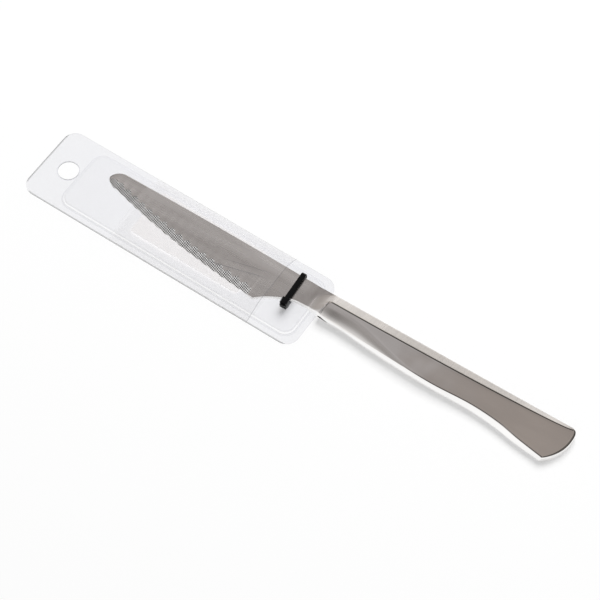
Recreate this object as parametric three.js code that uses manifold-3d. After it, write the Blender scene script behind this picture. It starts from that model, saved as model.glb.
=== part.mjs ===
// Steak knife with a hollow steel handle, tied into a clear hanging guard.
// Millimetres, +Z up. The knife lies on its side: +X runs from tip to butt, the spine faces +Y
// and the cutting edge -Y. The flat underside of the handle lies on the table.

import * as THREE from 'three';
import { LoftGeometry } from 'three/addons/geometries/LoftGeometry.js';
import { mergeVertices } from 'three/addons/utils/BufferGeometryUtils.js';
import Module from 'manifold-3d';

const wasm = await Module();
wasm.setup();

// Clearances
const FIT_GAP = 0.3; // between pieces that touch
const TIE_GAP = 0.25; // round the strap of the tie
const CUT_MARGIN = 2; // how far a cutting tool runs past what it cuts
const MERGE_DISTANCE = 1e-4; // corners closer than this are one corner
const NEAR_ZERO = 1e-9;

// Blade, measured from the weld between bolster and handle, and from the axis of the tang
const BLADE_LENGTH = 102.6; // tip to weld
const SPINE_HEIGHT = 5.3; // axis to spine at the weld
const SPINE_CROWN = 0.82; // rise of the spine's long arc
const SPINE_CROWN_AT = 66; // weld to the top of that arc
const TIP_HEIGHT = 1.3; // foremost point of the rounded tip
const NOSE_LENGTH = 5.1; // rounded part of the spine at the tip
const CHIN_LENGTH = 4.2; // rounded part of the edge at the tip
const CHIN_HEIGHT = -1.65; // where the edge runs into the rounding
const HEEL_SETBACK = 24.55; // weld to heel corner
const HEEL_DEPTH = 13.1; // axis to heel corner
const BELLY_SETBACK = 63; // control point of the curved edge
const BELLY_DEPTH = 10.95;
const CHOIL_SETBACK = 19.5; // control point of the hollow behind the heel
const CHOIL_DEPTH = 8.1;
const NECK_SETBACK = 10.2; // where the hollow runs into the neck
const NECK_DEPTH = 5.25; // axis to the underside of the neck
const NECK_THICKNESS = 2; // also that of the spine at the weld
const TIP_THICKNESS = 1.3;
const EDGE_TAPER = 0.72; // thickness above the ground band over thickness at the spine
const EDGE_BREAK = 0.3; // broken edges of the spine and neck
const BREAK_LIMIT = 0.25; // largest share of the blade's depth that a broken edge takes
const GRIND_WIDTH = 2.9; // ground band on the face
const GRIND_LIMIT = 0.6; // largest share of the blade's depth that the band takes
const EDGE_LAND = 0.15; // thickness left at the very edge
const TOOTH_PITCH = 0.84;
const TOOTH_DEPTH = 0.3;
const TOOTH_RUN = 0.5; // how far each groove runs into the face
const TEETH_PER_WAVE = 5; // fine teeth in one wave of the edge
const WAVE_DEPTH = 0.35;
const PLAIN_HEEL = 2.8; // edge left plain in front of the heel

// Tang
const TANG_LENGTH = 46;
const TANG_ROOT_WIDTH = 6.4;
const TANG_END_WIDTH = 3.6;
const TANG_THICKNESS = 1.6;

// Handle, measured from the weld and from the axis of the tang
const HANDLE_LENGTH = 108.1;
const FRONT_THICKNESS = 6.2;
const BUTT_THICKNESS = 3.85;
const RAMP_FOOT = -5; // where the neck starts to swell
const RAMP_CREST = 1.3; // where the flat face starts
const RAMP_HOLLOW = 1.3; // power of the ramp's concave rise
const SPINE_SIDE_FRONT = 5.7; // axis to the spine side of the handle
const SPINE_SIDE_BUTT = 6.7;
const SPINE_BEVEL = 4.15; // wide bevel along the spine side
const SPINE_BEVEL_END = 0.6; // where that bevel runs out, from the butt
const SPINE_LAND = 0.5; // half height of the blunt ridge on the spine side
const RIDGE_DRAW = 2; // walls by which that ridge draws in for the hollow
const GRIP_DEPTH = 8.55; // axis to the belly where the hand closes
// Belly of the grip seen from above, as shares of the handle's length and of the grip's depth
const BELLY_POINTS = [[0.019, 0.72], [0.102, 0.73], [0.203, 0.842], [0.348, 0.953], [0.491, 1],
  [0.633, 0.965], [0.755, 1.076], [0.859, 1.287], [1.04, 1.661]];
const BELLY_DRAW = 1.2; // walls by which the belly draws in for the hollow
const BELLY_WALL = 1 / 3; // share of the half thickness that stands upright on the belly side
const BELLY_BEVEL = 0.6; // narrow bevel along the belly side
const BELLY_BEVEL_EXTRA = 1.4; // by which it widens in front of the butt
const BELLY_BEVEL_AT = 28.4; // from the butt to the middle of that widening
const BELLY_BEVEL_SPAN = 33;
const FACE_BREAK = 0.45; // soft edges of the flat faces
const SOFT_LIMIT = 1 / 3; // largest share of the half thickness that a soft edge takes
const BUTT_RADIUS = 17.25; // arc of the butt
const BUTT_AXIS = 1.6; // axis of the tang to the centre of that arc
const BUTT_CORNER = 3.5; // rounded corner on the spine side
const SHELL_WALL = 0.8;
const BUTT_WALL = 9; // solid end of the shells
const HANDLE_STATIONS = 30;

// Guard tray, laid out from the tie
const TIP_ROOM = 12.2; // platform in front of the tip
const RAMP_ROOM = 4.2; // how far the guard reaches under the ramp of the bolster
const EDGE_ROOM = 8.85; // heel to the rim beside it
const SPINE_ROOM = 5.9; // spine to the rim beside it
const TRAY_CORNER = 5.5;
const TRAY_SHEET = 0.4;
const TRAY_TURN = -0.68 * Math.PI / 180; // slant of the guard against the knife
const TAB_LENGTH = 15.6; // flat hanging tab
const FLANGE_WIDTH = 2.4;
const SKIRT_RUN = 1.8;
const SHOULDER_RUN = 0.75; // share of the skirt up to its rounded shoulder
const SHOULDER_DROP = 0.15; // share of the rise that the shoulder takes
const PLATFORM_RISE = 1.3;
const HANG_HOLE = 8.5; // diameter
const HANG_HOLE_AT = 10.9; // from the end of the tab

// Film sleeve and paper label
const FILM_THICKNESS = 0.12;
const FILM_GAP = 0.2;
const FILM_CLEAR = 6.15; // from the head of the tie
const FILM_LENGTH = 66.2;
const FILM_STATIONS = 14;
const LABEL_LENGTH = 51;
const LABEL_WIDTH = 21.6;
const LABEL_THICKNESS = 0.15;
const LABEL_INSET = 4.5; // from the end of the film
const LABEL_OFFSET = 2.2; // towards the spine
const LABEL_CORNER = 1.5;

// Cable tie
const TIE_SETBACK = 13.25; // weld to the middle of the strap
const TIE_TURN = 2.9 * Math.PI / 180; // slant of the tie against the guard
const STRAP_WIDTH = 2.2;
const STRAP_THICKNESS = 0.9;
const STRAP_BEND = 0.5; // inner radius of its bends
const TIE_HEAD_LENGTH = 3.5;
const TIE_HEAD_WIDTH = 3.3;
const TIE_HEAD_WALL = 0.5;
const TIE_HEAD_ROUND = 0.3;
const TIE_TAIL = 0.7; // trimmed end of the strap
const TIE_TOOTH_PITCH = 0.8;
const TIE_TOOTH_DEPTH = 0.2;
const TIE_TOOTH_RAMP = 0.8; // share of the pitch that slopes

const ARC_STEPS = 6; // straight pieces in a quarter turn

// Finishes
const SATIN_STEEL = { color: 0x97918b, roughness: 0.35, metalness: 1 };
const BRIGHT_STEEL = { color: 0x9c958e, roughness: 0.15, metalness: 1 };
const CEMENT = { color: 0xb9b2a4, roughness: 0.9, metalness: 0 };
const CLEAR_SHEET = { color: 0xe9ecf1, roughness: 0.1, metalness: 0, opacity: 0.35, transparent: true };
const CLEAR_FILM = { color: 0xf3f1f0, roughness: 0.1, metalness: 0, opacity: 0.2, transparent: true };
const PAPER = { color: 0xf1ebe8, roughness: 0.8, metalness: 0 };
const BLACK_NYLON = { color: 0x111213, roughness: 0.45, metalness: 0 };

// Values that follow from the driving sizes
const halfNeck = NECK_THICKNESS / 2;
const platformTop = -halfNeck - FIT_GAP;
const platformBottom = platformTop - TRAY_SHEET;
const flangeTop = platformTop - PLATFORM_RISE;
const flangeBottom = flangeTop - TRAY_SHEET;
const tieX = -TIE_SETBACK;

// Turns a closed geometry into a solid, and back
function solid(geometry) {
  const bare = geometry.index ? geometry.toNonIndexed() : geometry.clone();
  bare.deleteAttribute('normal');
  bare.deleteAttribute('uv');
  const merged = mergeVertices(bare, MERGE_DISTANCE);
  return new wasm.Manifold(new wasm.Mesh({
    numProp: 3,
    vertProperties: new Float32Array(merged.attributes.position.array),
    triVerts: new Uint32Array(merged.index.array),
  }));
}

function geometryOf(body) {
  const { vertProperties, triVerts } = body.getMesh();
  const geometry = new THREE.BufferGeometry();
  geometry.setAttribute('position', new THREE.BufferAttribute(new Float32Array(vertProperties), 3));
  geometry.setIndex(new THREE.BufferAttribute(new Uint32Array(triVerts), 1));
  geometry.computeVertexNormals();
  return geometry;
}

function loft(sections) {
  return new LoftGeometry(sections, { capStart: true, capEnd: true });
}

function block(x0, x1, y0, y1, z0, z1) {
  const box = new THREE.BoxGeometry(x1 - x0, y1 - y0, z1 - z0);
  return box.translate((x0 + x1) / 2, (y0 + y1) / 2, (z0 + z1) / 2);
}

// Corner points of a rectangle with rounded corners, counter-clockwise
function roundedRectangle(x0, x1, y0, y1, radius) {
  const centres = [[x1 - radius, y0 + radius], [x1 - radius, y1 - radius],
    [x0 + radius, y1 - radius], [x0 + radius, y0 + radius]];
  const points = [];
  centres.forEach(([x, y], corner) => {
    for (let i = 0; i <= ARC_STEPS; i++) {
      const angle = (corner - 1 + i / ARC_STEPS) * Math.PI / 2;
      points.push(new THREE.Vector2(x + radius * Math.cos(angle), y + radius * Math.sin(angle)));
    }
  });
  return points;
}

function plate(shape, bottom, top) {
  const settings = { depth: top - bottom, bevelEnabled: false, curveSegments: ARC_STEPS };
  return new THREE.ExtrudeGeometry(shape, settings).translate(0, 0, bottom);
}

// Extrudes an outline drawn in the Y-Z plane along X, about x = 0
function across(shape, width) {
  const settings = { depth: width, bevelEnabled: false, curveSegments: ARC_STEPS };
  const upright = new THREE.Matrix4().makeBasis(
    new THREE.Vector3(0, 1, 0), new THREE.Vector3(0, 0, 1), new THREE.Vector3(1, 0, 0));
  return new THREE.ExtrudeGeometry(shape, settings).translate(0, 0, -width / 2).applyMatrix4(upright);
}

// Blade outline: the spine and the edge as functions along the blade
const tipX = -BLADE_LENGTH;
const noseX = tipX + NOSE_LENGTH;
const chinX = tipX + CHIN_LENGTH;
const edgeCurve = new THREE.QuadraticBezierCurve(
  new THREE.Vector2(chinX, CHIN_HEIGHT),
  new THREE.Vector2(-BELLY_SETBACK, -BELLY_DEPTH),
  new THREE.Vector2(-HEEL_SETBACK, -HEEL_DEPTH));
const choilCurve = new THREE.QuadraticBezierCurve(
  new THREE.Vector2(-HEEL_SETBACK, -HEEL_DEPTH),
  new THREE.Vector2(-CHOIL_SETBACK, -CHOIL_DEPTH),
  new THREE.Vector2(-NECK_SETBACK, -NECK_DEPTH));

function roundOff(x, start, end) {
  const reach = Math.max(0, (end - x) / (end - start));
  return Math.sqrt(Math.max(0, 1 - reach * reach));
}

function spineY(x) {
  const along = (x + SPINE_CROWN_AT) / SPINE_CROWN_AT;
  const arc = SPINE_HEIGHT + SPINE_CROWN * (1 - along * along);
  return x < noseX ? TIP_HEIGHT + (arc - TIP_HEIGHT) * roundOff(x, tipX, noseX) : arc;
}

function chinY(x) {
  const slope = edgeCurve.getTangent(0);
  const straight = CHIN_HEIGHT + (x - chinX) * slope.y / slope.x;
  return TIP_HEIGHT - (TIP_HEIGHT - straight) * roundOff(x, tipX, chinX);
}

// Height of a quadratic curve at a given x
function curveY(curve, x) {
  const { v0, v1, v2 } = curve;
  const a = v0.x - 2 * v1.x + v2.x;
  const b = 2 * (v1.x - v0.x);
  const c = v0.x - x;
  const t = Math.abs(a) < NEAR_ZERO ? -c / b : (-b + Math.sqrt(b * b - 4 * a * c)) / (2 * a);
  return curve.getPoint(t).y;
}

function bladeLowY(x) {
  if (x < chinX) return chinY(x);
  if (x < -HEEL_SETBACK) return curveY(edgeCurve, x);
  return x < -NECK_SETBACK ? curveY(choilCurve, x) : -NECK_DEPTH;
}

// One slice of the blade. grind is 1 where the edge is ground and 0 where it is left square;
// notch is how far a groove between two teeth cuts in.
function bladeSlice(x, lowY, grind, notch, groove) {
  const spine = spineY(x);
  const share = Math.min(1, -x / BLADE_LENGTH);
  const half = THREE.MathUtils.lerp(NECK_THICKNESS, TIP_THICKNESS, share) / 2;
  const edge = lowY + notch;
  const room = spine - edge;
  const soft = Math.min(EDGE_BREAK, BREAK_LIMIT * room, half / 2);
  const faceHalf = half * THREE.MathUtils.lerp(1, EDGE_TAPER, grind);
  const band = Math.min(THREE.MathUtils.lerp(soft, GRIND_WIDTH + groove, grind), GRIND_LIMIT * room);
  const edgeTop = THREE.MathUtils.lerp(half - soft, -faceHalf + 2 * EDGE_LAND, grind);
  const edgeBottom = THREE.MathUtils.lerp(-half + soft, -faceHalf + EDGE_LAND, grind);
  const outline = [[spine, half - soft], [spine - soft, half], [edge + band, faceHalf], [edge, edgeTop],
    [edge, edgeBottom], [edge + soft, -faceHalf], [spine - soft, -half], [spine, -half + soft]];
  return outline.map(([y, z]) => new THREE.Vector3(x, y, z));
}

function makeBladeSlices() {
  const slices = [];
  for (let i = 1; i < ARC_STEPS; i++) {
    const x = tipX + CHIN_LENGTH * (1 - Math.cos(i / ARC_STEPS * Math.PI / 2));
    slices.push(bladeSlice(x, chinY(x), 1, 0, 0));
  }
  const edgeLength = edgeCurve.getLength();
  const toothedLength = edgeLength - PLAIN_HEEL;
  const teeth = Math.round(toothedLength / TOOTH_PITCH);
  for (let i = 0; i <= 2 * teeth; i++) {
    const point = edgeCurve.getPointAt(i / (2 * teeth) * toothedLength / edgeLength);
    const wave = WAVE_DEPTH * (0.5 - 0.5 * Math.cos(Math.PI * i / TEETH_PER_WAVE));
    const root = i % 2;
    slices.push(bladeSlice(point.x, point.y, 1, wave + root * TOOTH_DEPTH, root * TOOTH_RUN));
  }
  slices.push(bladeSlice(-HEEL_SETBACK, -HEEL_DEPTH, 0, 0, 0));
  for (let i = 1; i <= ARC_STEPS; i++) {
    const point = choilCurve.getPoint(i / ARC_STEPS);
    slices.push(bladeSlice(point.x, point.y, 0, 0, 0));
  }
  slices.push(bladeSlice(RAMP_FOOT / 2, -NECK_DEPTH, 0, 0, 0));
  return slices;
}

// Handle outline
const bellyCurve = new THREE.SplineCurve([
  new THREE.Vector2(RAMP_FOOT, -NECK_DEPTH),
  ...BELLY_POINTS.map(([along, deep]) => new THREE.Vector2(along * HANDLE_LENGTH, -deep * GRIP_DEPTH))]);
const bellySamples = bellyCurve.getPoints(BELLY_POINTS.length * ARC_STEPS);

function bellyY(x) {
  const i = Math.max(1, bellySamples.findIndex((point) => point.x >= x));
  const [a, b] = [bellySamples[i - 1], bellySamples[i]];
  return THREE.MathUtils.mapLinear(x, a.x, b.x, a.y, b.y);
}

function spineSideY(x) {
  return THREE.MathUtils.mapLinear(x, 0, HANDLE_LENGTH, SPINE_SIDE_FRONT, SPINE_SIDE_BUTT);
}

// Slope of each flat face against the seam, and half the thickness that it gives
const faceSlope = (FRONT_THICKNESS - BUTT_THICKNESS) / 2 / HANDLE_LENGTH;

function halfThickness(x) {
  const tapered = FRONT_THICKNESS / 2 - faceSlope * x;
  if (x >= RAMP_CREST) return tapered;
  const rise = Math.pow((x - RAMP_FOOT) / (RAMP_CREST - RAMP_FOOT), RAMP_HOLLOW);
  return halfNeck + (tapered - halfNeck) * rise;
}

// One slice of the handle: a wide bevel on the spine side, a flat face, a narrow belly bevel.
// wall moves the whole outline inwards, for the hollow and for what fills it.
function handleSlice(x, wall) {
  const swell = THREE.MathUtils.clamp((x - RAMP_FOOT) / (RAMP_CREST - RAMP_FOOT), 0, 1);
  const spineSide = THREE.MathUtils.lerp(SPINE_HEIGHT, spineSideY(x), swell) - RIDGE_DRAW * wall;
  const bellySide = bellyY(x) + BELLY_DRAW * wall;
  const half = halfThickness(x) - wall;
  const run = THREE.MathUtils.clamp(x / (HANDLE_LENGTH - SPINE_BEVEL_END), 0, 1);
  const spineBevel = swell * SPINE_BEVEL * Math.sqrt(1 - run * run) + FACE_BREAK - wall;
  const near = THREE.MathUtils.clamp((x - HANDLE_LENGTH + BELLY_BEVEL_AT) / BELLY_BEVEL_SPAN, -1, 1);
  const bellyBevel = BELLY_BEVEL + BELLY_BEVEL_EXTRA * (0.5 + 0.5 * Math.cos(near * Math.PI));
  const soft = Math.min(FACE_BREAK, SOFT_LIMIT * half);
  const faceFar = spineSide - Math.max(spineBevel, 2 * soft);
  const faceNear = bellySide + bellyBevel;
  const land = Math.min(SPINE_LAND, SOFT_LIMIT * half);
  const upper = [[spineSide, 0], [spineSide, land],
    [faceFar + soft, half - soft / 3], [faceFar - soft, half],
    [faceNear + soft, half], [faceNear - soft / 2, half - soft],
    [bellySide, BELLY_WALL * half], [bellySide, 0]];
  const lower = upper.slice(1, -1).reverse().map(([y, z]) => [y, -z]);
  return [...upper, ...lower].map(([y, z]) => new THREE.Vector3(x, y, z));
}

function handleLoft(start, end, steps, wall) {
  const slices = [];
  for (let i = 0; i <= steps; i++) {
    slices.push(handleSlice(THREE.MathUtils.lerp(start, end, i / steps), wall));
  }
  return solid(loft(slices));
}

// Plan of the butt: a round end with one rounded corner on the spine side
function buttPlan() {
  const centreX = HANDLE_LENGTH - BUTT_RADIUS;
  const cornerY = SPINE_SIDE_BUTT - BUTT_CORNER;
  const reach = BUTT_RADIUS - BUTT_CORNER;
  const cornerX = centreX + Math.sqrt(reach * reach - (cornerY - BUTT_AXIS) ** 2);
  const meet = Math.atan2(cornerY - BUTT_AXIS, cornerX - centreX);
  const plan = new THREE.Shape();
  plan.moveTo(-CUT_MARGIN, BUTT_AXIS - BUTT_RADIUS);
  plan.lineTo(centreX, BUTT_AXIS - BUTT_RADIUS);
  plan.absarc(centreX, BUTT_AXIS, BUTT_RADIUS, -Math.PI / 2, meet);
  plan.absarc(cornerX, cornerY, BUTT_CORNER, meet, Math.PI / 2);
  plan.lineTo(-CUT_MARGIN, SPINE_SIDE_BUTT);
  return plan;
}

function tangPlan(gap) {
  const root = TANG_ROOT_WIDTH / 2 + gap;
  const end = TANG_END_WIDTH / 2 + gap;
  const plan = new THREE.Shape();
  plan.moveTo(RAMP_FOOT / 2, -root);
  plan.lineTo(TANG_LENGTH - TANG_END_WIDTH / 2, -end);
  plan.absarc(TANG_LENGTH - TANG_END_WIDTH / 2, 0, end, -Math.PI / 2, Math.PI / 2);
  plan.lineTo(RAMP_FOOT / 2, root);
  return plan;
}

// Blade, bolster and tang are one forging
function makeBlade() {
  const bolster = handleLoft(RAMP_FOOT, 0, ARC_STEPS, 0);
  const tang = solid(plate(tangPlan(0), -TANG_THICKNESS / 2, TANG_THICKNESS / 2));
  return geometryOf(solid(loft(makeBladeSlices())).add(bolster).add(tang));
}

// Two stamped half shells, welded along the seam and to the bolster
const handleFront = FIT_GAP;
const cavityEnd = HANDLE_LENGTH - BUTT_WALL;
const shellReach = HANDLE_LENGTH + CUT_MARGIN;

function makeShells() {
  const trim = solid(plate(buttPlan(), -FRONT_THICKNESS, FRONT_THICKNESS));
  const outside = handleLoft(handleFront, shellReach, HANDLE_STATIONS, 0).intersect(trim);
  const hollow = handleLoft(handleFront - FIT_GAP, cavityEnd, HANDLE_STATIONS, SHELL_WALL);
  const shell = outside.subtract(hollow);
  const wide = BUTT_RADIUS + CUT_MARGIN;
  const half = (low, high) => {
    const room = block(-CUT_MARGIN, shellReach, -wide, wide, low, high);
    return shell.intersect(solid(room));
  };
  return {
    upper: geometryOf(half(FIT_GAP / 2, FRONT_THICKNESS)),
    lower: geometryOf(half(-FRONT_THICKNESS, -FIT_GAP / 2)),
  };
}

// Cement that fills the shells and grips the tang
function makeFiller() {
  const fill = handleLoft(2 * handleFront, cavityEnd - FIT_GAP, HANDLE_STATIONS, SHELL_WALL + FIT_GAP);
  const slotHalf = TANG_THICKNESS / 2 + FIT_GAP;
  return geometryOf(fill.subtract(solid(plate(tangPlan(FIT_GAP), -slotHalf, slotHalf))));
}

// The guard, its film, its label and the tie share one frame: x = 0 at the tie, y = 0 at the tang's axis.
// This gives the place of a point of the knife in that frame.
function onTray(x, y) {
  return new THREE.Vector2(x - tieX, y).rotateAround(new THREE.Vector2(), -TRAY_TURN);
}

const trayStart = onTray(tipX, TIP_HEIGHT).x - TIP_ROOM - TAB_LENGTH;
const trayEnd = TIE_SETBACK + RAMP_FOOT + RAMP_ROOM;
const trayLow = -HEEL_DEPTH - EDGE_ROOM;
const trayHigh = SPINE_HEIGHT + SPINE_CROWN + SPINE_ROOM;
const trayMiddle = (trayLow + trayHigh) / 2;

function platformRing(inset, z) {
  const outline = roundedRectangle(trayStart + TAB_LENGTH + inset, trayEnd - FLANGE_WIDTH - inset,
    trayLow + FLANGE_WIDTH + inset, trayHigh - FLANGE_WIDTH - inset, TRAY_CORNER - inset);
  return outline.map((point) => new THREE.Vector3(point.x, point.y, z));
}

// Places of the strap's two legs, which pass through the tray beside the neck
const neckLow = bladeLowY(tieX - STRAP_WIDTH / 2);
const headFar = neckLow - FIT_GAP;
const headNear = headFar - TIE_HEAD_LENGTH;
const nearLeg = (headNear + headFar - STRAP_THICKNESS) / 2;
const farLeg = spineY(tieX) + TIE_GAP + STRAP_THICKNESS;
const strapTop = halfNeck + TIE_GAP + TIE_TOOTH_DEPTH + STRAP_THICKNESS;
const strapBottom = platformBottom - TIE_GAP - STRAP_THICKNESS;

function makeTray() {
  const sheet = new THREE.Shape(roundedRectangle(trayStart, trayEnd, trayLow, trayHigh, TRAY_CORNER));
  const outer = solid(loft([platformRing(0, flangeBottom), platformRing(0, flangeTop),
    platformRing(SKIRT_RUN * SHOULDER_RUN, platformTop - PLATFORM_RISE * SHOULDER_DROP),
    platformRing(SKIRT_RUN, platformTop)]));
  const inner = solid(loft([platformRing(TRAY_SHEET, flangeBottom - CUT_MARGIN),
    platformRing(TRAY_SHEET, flangeBottom), platformRing(SKIRT_RUN + TRAY_SHEET / 2, platformBottom)]));
  const hole = new THREE.Shape();
  hole.absarc(trayStart + HANG_HOLE_AT, trayMiddle, HANG_HOLE / 2, 0, 2 * Math.PI);
  const low = flangeBottom - CUT_MARGIN;
  const high = platformTop + CUT_MARGIN;
  const slitHalf = STRAP_WIDTH / 2 + TIE_GAP;
  const slit = (leg) => {
    const [legLow, legHigh] = [leg - TIE_GAP, leg + STRAP_THICKNESS + TIE_GAP];
    return solid(block(-slitHalf, slitHalf, legLow, legHigh, low, high).rotateZ(TIE_TURN));
  };
  const formed = solid(plate(sheet, flangeBottom, flangeTop)).add(outer).subtract(inner);
  const punched = formed.subtract(solid(plate(hole, low, high)));
  return geometryOf(punched.subtract(slit(nearLeg)).subtract(slit(farLeg - STRAP_THICKNESS)));
}

// Film pulled tight from rim to rim, over the blade and under the tray; straight behind the heel
function filmSlice(x, spread) {
  const knifeX = x + tieX;
  const lowY = knifeX < -HEEL_SETBACK ? bladeLowY(knifeX) : -HEEL_DEPTH;
  const edge = onTray(knifeX, lowY).y - spread;
  const spine = onTray(knifeX, spineY(knifeX)).y + spread;
  const top = halfNeck + spread;
  const rim = flangeTop + spread;
  const bottom = flangeBottom - spread;
  const shoulder = (rimY, shoulderY, bladeY) => {
    const straight = THREE.MathUtils.mapLinear(shoulderY, rimY, bladeY, rim, top);
    return [shoulderY, Math.max(straight, platformTop + spread)];
  };
  const inset = FLANGE_WIDTH + SKIRT_RUN * SHOULDER_RUN;
  const high = trayHigh + spread;
  const low = trayLow - spread;
  const outline = [[high, rim], shoulder(high, trayHigh - inset, spine), [spine, top], [edge, top],
    shoulder(low, trayLow + inset, edge), [low, rim], [low, bottom], [high, bottom]];
  return outline.map(([y, z]) => new THREE.Vector3(x, y, z));
}

const filmEnd = -TIE_HEAD_WIDTH / 2 - FILM_CLEAR;
const filmStart = filmEnd - FILM_LENGTH;

function filmLoft(spread) {
  const slices = [];
  for (let i = 0; i <= FILM_STATIONS; i++) {
    const x = THREE.MathUtils.lerp(filmStart - CUT_MARGIN, filmEnd + CUT_MARGIN, i / FILM_STATIONS);
    slices.push(filmSlice(x, spread));
  }
  return solid(loft(slices));
}

function makeFilm() {
  const tube = filmLoft(FILM_GAP + FILM_THICKNESS).subtract(filmLoft(FILM_GAP));
  const wide = trayHigh - trayLow;
  return geometryOf(tube.intersect(solid(block(filmStart, filmEnd, -wide, wide, -wide, wide))));
}

function makeLabel() {
  const start = filmStart + LABEL_INSET;
  const low = trayMiddle + LABEL_OFFSET - LABEL_WIDTH / 2;
  const sheet = roundedRectangle(start, start + LABEL_LENGTH, low, low + LABEL_WIDTH, LABEL_CORNER);
  return plate(new THREE.Shape(sheet), flangeBottom, flangeBottom + LABEL_THICKNESS);
}

// Strap: up from the head's floor, under the tray, over the neck and through the head's window
function strapOutline() {
  const bend = STRAP_BEND + STRAP_THICKNESS;
  const tail = headNear - TIE_TAIL;
  const inside = strapTop - STRAP_THICKNESS;
  const headFloor = platformTop + FIT_GAP + TIE_HEAD_WALL;
  const shape = new THREE.Shape();
  shape.moveTo(nearLeg, headFloor);
  shape.lineTo(nearLeg, strapBottom + bend);
  shape.absarc(nearLeg + bend, strapBottom + bend, bend, Math.PI, Math.PI * 1.5);
  shape.lineTo(farLeg - bend, strapBottom);
  shape.absarc(farLeg - bend, strapBottom + bend, bend, -Math.PI / 2, 0);
  shape.lineTo(farLeg, strapTop - bend);
  shape.absarc(farLeg - bend, strapTop - bend, bend, 0, Math.PI / 2);
  shape.lineTo(tail, strapTop);
  shape.lineTo(tail, inside);
  const teeth = Math.floor((farLeg - bend - tail) / TIE_TOOTH_PITCH);
  for (let i = 0; i < teeth; i++) {
    const y = tail + i * TIE_TOOTH_PITCH;
    shape.lineTo(y + TIE_TOOTH_PITCH * TIE_TOOTH_RAMP, inside - TIE_TOOTH_DEPTH);
    shape.lineTo(y + TIE_TOOTH_PITCH, inside);
  }
  shape.absarc(farLeg - bend, strapTop - bend, STRAP_BEND, Math.PI / 2, 0, true);
  shape.absarc(farLeg - bend, strapBottom + bend, STRAP_BEND, 0, -Math.PI / 2, true);
  shape.absarc(nearLeg + bend, strapBottom + bend, STRAP_BEND, Math.PI * 1.5, Math.PI, true);
  shape.lineTo(nearLeg + STRAP_THICKNESS, headFloor);
  return shape;
}

function makeTie() {
  const headTop = strapTop + TIE_GAP + TIE_HEAD_WALL;
  const headBottom = platformTop + FIT_GAP;
  const headOutline = roundedRectangle(headNear, headFar, headBottom, headTop, TIE_HEAD_ROUND);
  const head = across(new THREE.Shape(headOutline), TIE_HEAD_WIDTH);
  const windowHalf = STRAP_WIDTH / 2 + TIE_GAP;
  const windowFloor = strapTop - STRAP_THICKNESS - TIE_TOOTH_DEPTH - TIE_GAP;
  const window = block(-windowHalf, windowHalf, headNear - CUT_MARGIN, headFar + CUT_MARGIN, windowFloor,
    strapTop + TIE_GAP);
  const strap = solid(across(strapOutline(), STRAP_WIDTH));
  return geometryOf(solid(head).subtract(solid(window)).add(strap)).rotateZ(TIE_TURN);
}

function makeMesh(name, geometry, finish) {
  const mesh = new THREE.Mesh(geometry, new THREE.MeshStandardMaterial(finish));
  mesh.name = name;
  return mesh;
}

const shells = makeShells();
const knife = new THREE.Group();
knife.add(
  makeMesh('blade', makeBlade(), SATIN_STEEL),
  makeMesh('handle_shell_upper', shells.upper, BRIGHT_STEEL),
  makeMesh('handle_shell_lower', shells.lower, BRIGHT_STEEL),
  makeMesh('handle_filler', makeFiller(), CEMENT));

const guard = new THREE.Group();
guard.position.x = tieX;
guard.rotation.z = TRAY_TURN;
guard.add(
  makeMesh('guard_tray', makeTray(), CLEAR_SHEET),
  makeMesh('film_sleeve', makeFilm(), CLEAR_FILM),
  makeMesh('paper_label', makeLabel(), PAPER),
  makeMesh('cable_tie', makeTie(), BLACK_NYLON));

// Tilting by the slope of the handle's lower face lays that face flat on the table
const lying = new THREE.Group();
lying.rotation.y = Math.atan(faceSlope);
lying.add(knife, guard);

// The origin is the middle of the underside of the whole
const part = new THREE.Group();
part.add(lying);
const reach = new THREE.Box3().setFromObject(part, true);
lying.position.set(-(reach.min.x + reach.max.x) / 2, -(reach.min.y + reach.max.y) / 2, -reach.min.z);
part.updateMatrixWorld(true);

export default part;
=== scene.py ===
"""Steak knife with a hollow steel handle, tied into a clear hanging guard.

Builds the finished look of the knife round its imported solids: a toothed satin blade, a polished
handle, a formed clear tray with its film and label, and a black tie, on a plain white stage.
Lengths are in metres. The knife's own frame has its origin at the weld between bolster and
handle: x runs from tip to butt, y from cutting edge to spine and z up from the handle's seam.
"""

import math

import bmesh
import bpy
from mathutils import Matrix, Vector


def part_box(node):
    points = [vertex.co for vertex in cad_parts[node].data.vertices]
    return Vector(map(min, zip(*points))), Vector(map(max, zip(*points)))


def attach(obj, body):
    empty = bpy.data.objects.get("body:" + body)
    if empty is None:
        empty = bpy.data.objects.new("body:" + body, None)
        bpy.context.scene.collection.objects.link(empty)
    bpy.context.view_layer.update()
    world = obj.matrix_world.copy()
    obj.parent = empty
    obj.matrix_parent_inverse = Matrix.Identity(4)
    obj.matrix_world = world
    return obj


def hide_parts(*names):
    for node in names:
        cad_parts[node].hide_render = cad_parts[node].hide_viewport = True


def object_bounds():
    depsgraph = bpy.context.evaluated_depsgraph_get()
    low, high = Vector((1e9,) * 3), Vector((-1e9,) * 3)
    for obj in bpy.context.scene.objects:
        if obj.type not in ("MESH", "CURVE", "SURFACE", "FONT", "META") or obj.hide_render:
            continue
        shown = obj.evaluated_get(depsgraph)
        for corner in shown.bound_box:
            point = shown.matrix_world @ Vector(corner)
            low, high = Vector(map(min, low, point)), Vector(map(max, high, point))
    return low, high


bl_info = {
    "name": "Steak Knife in a Hanging Guard",
    "version": (1, 0, 0),
    "blender": (4, 5, 0),
    "location": "View3D > Sidebar > Knife",
    "description": "Models a steak knife in its clear blade guard and sets a white stage for it",
    "category": "Add Mesh",
}

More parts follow.
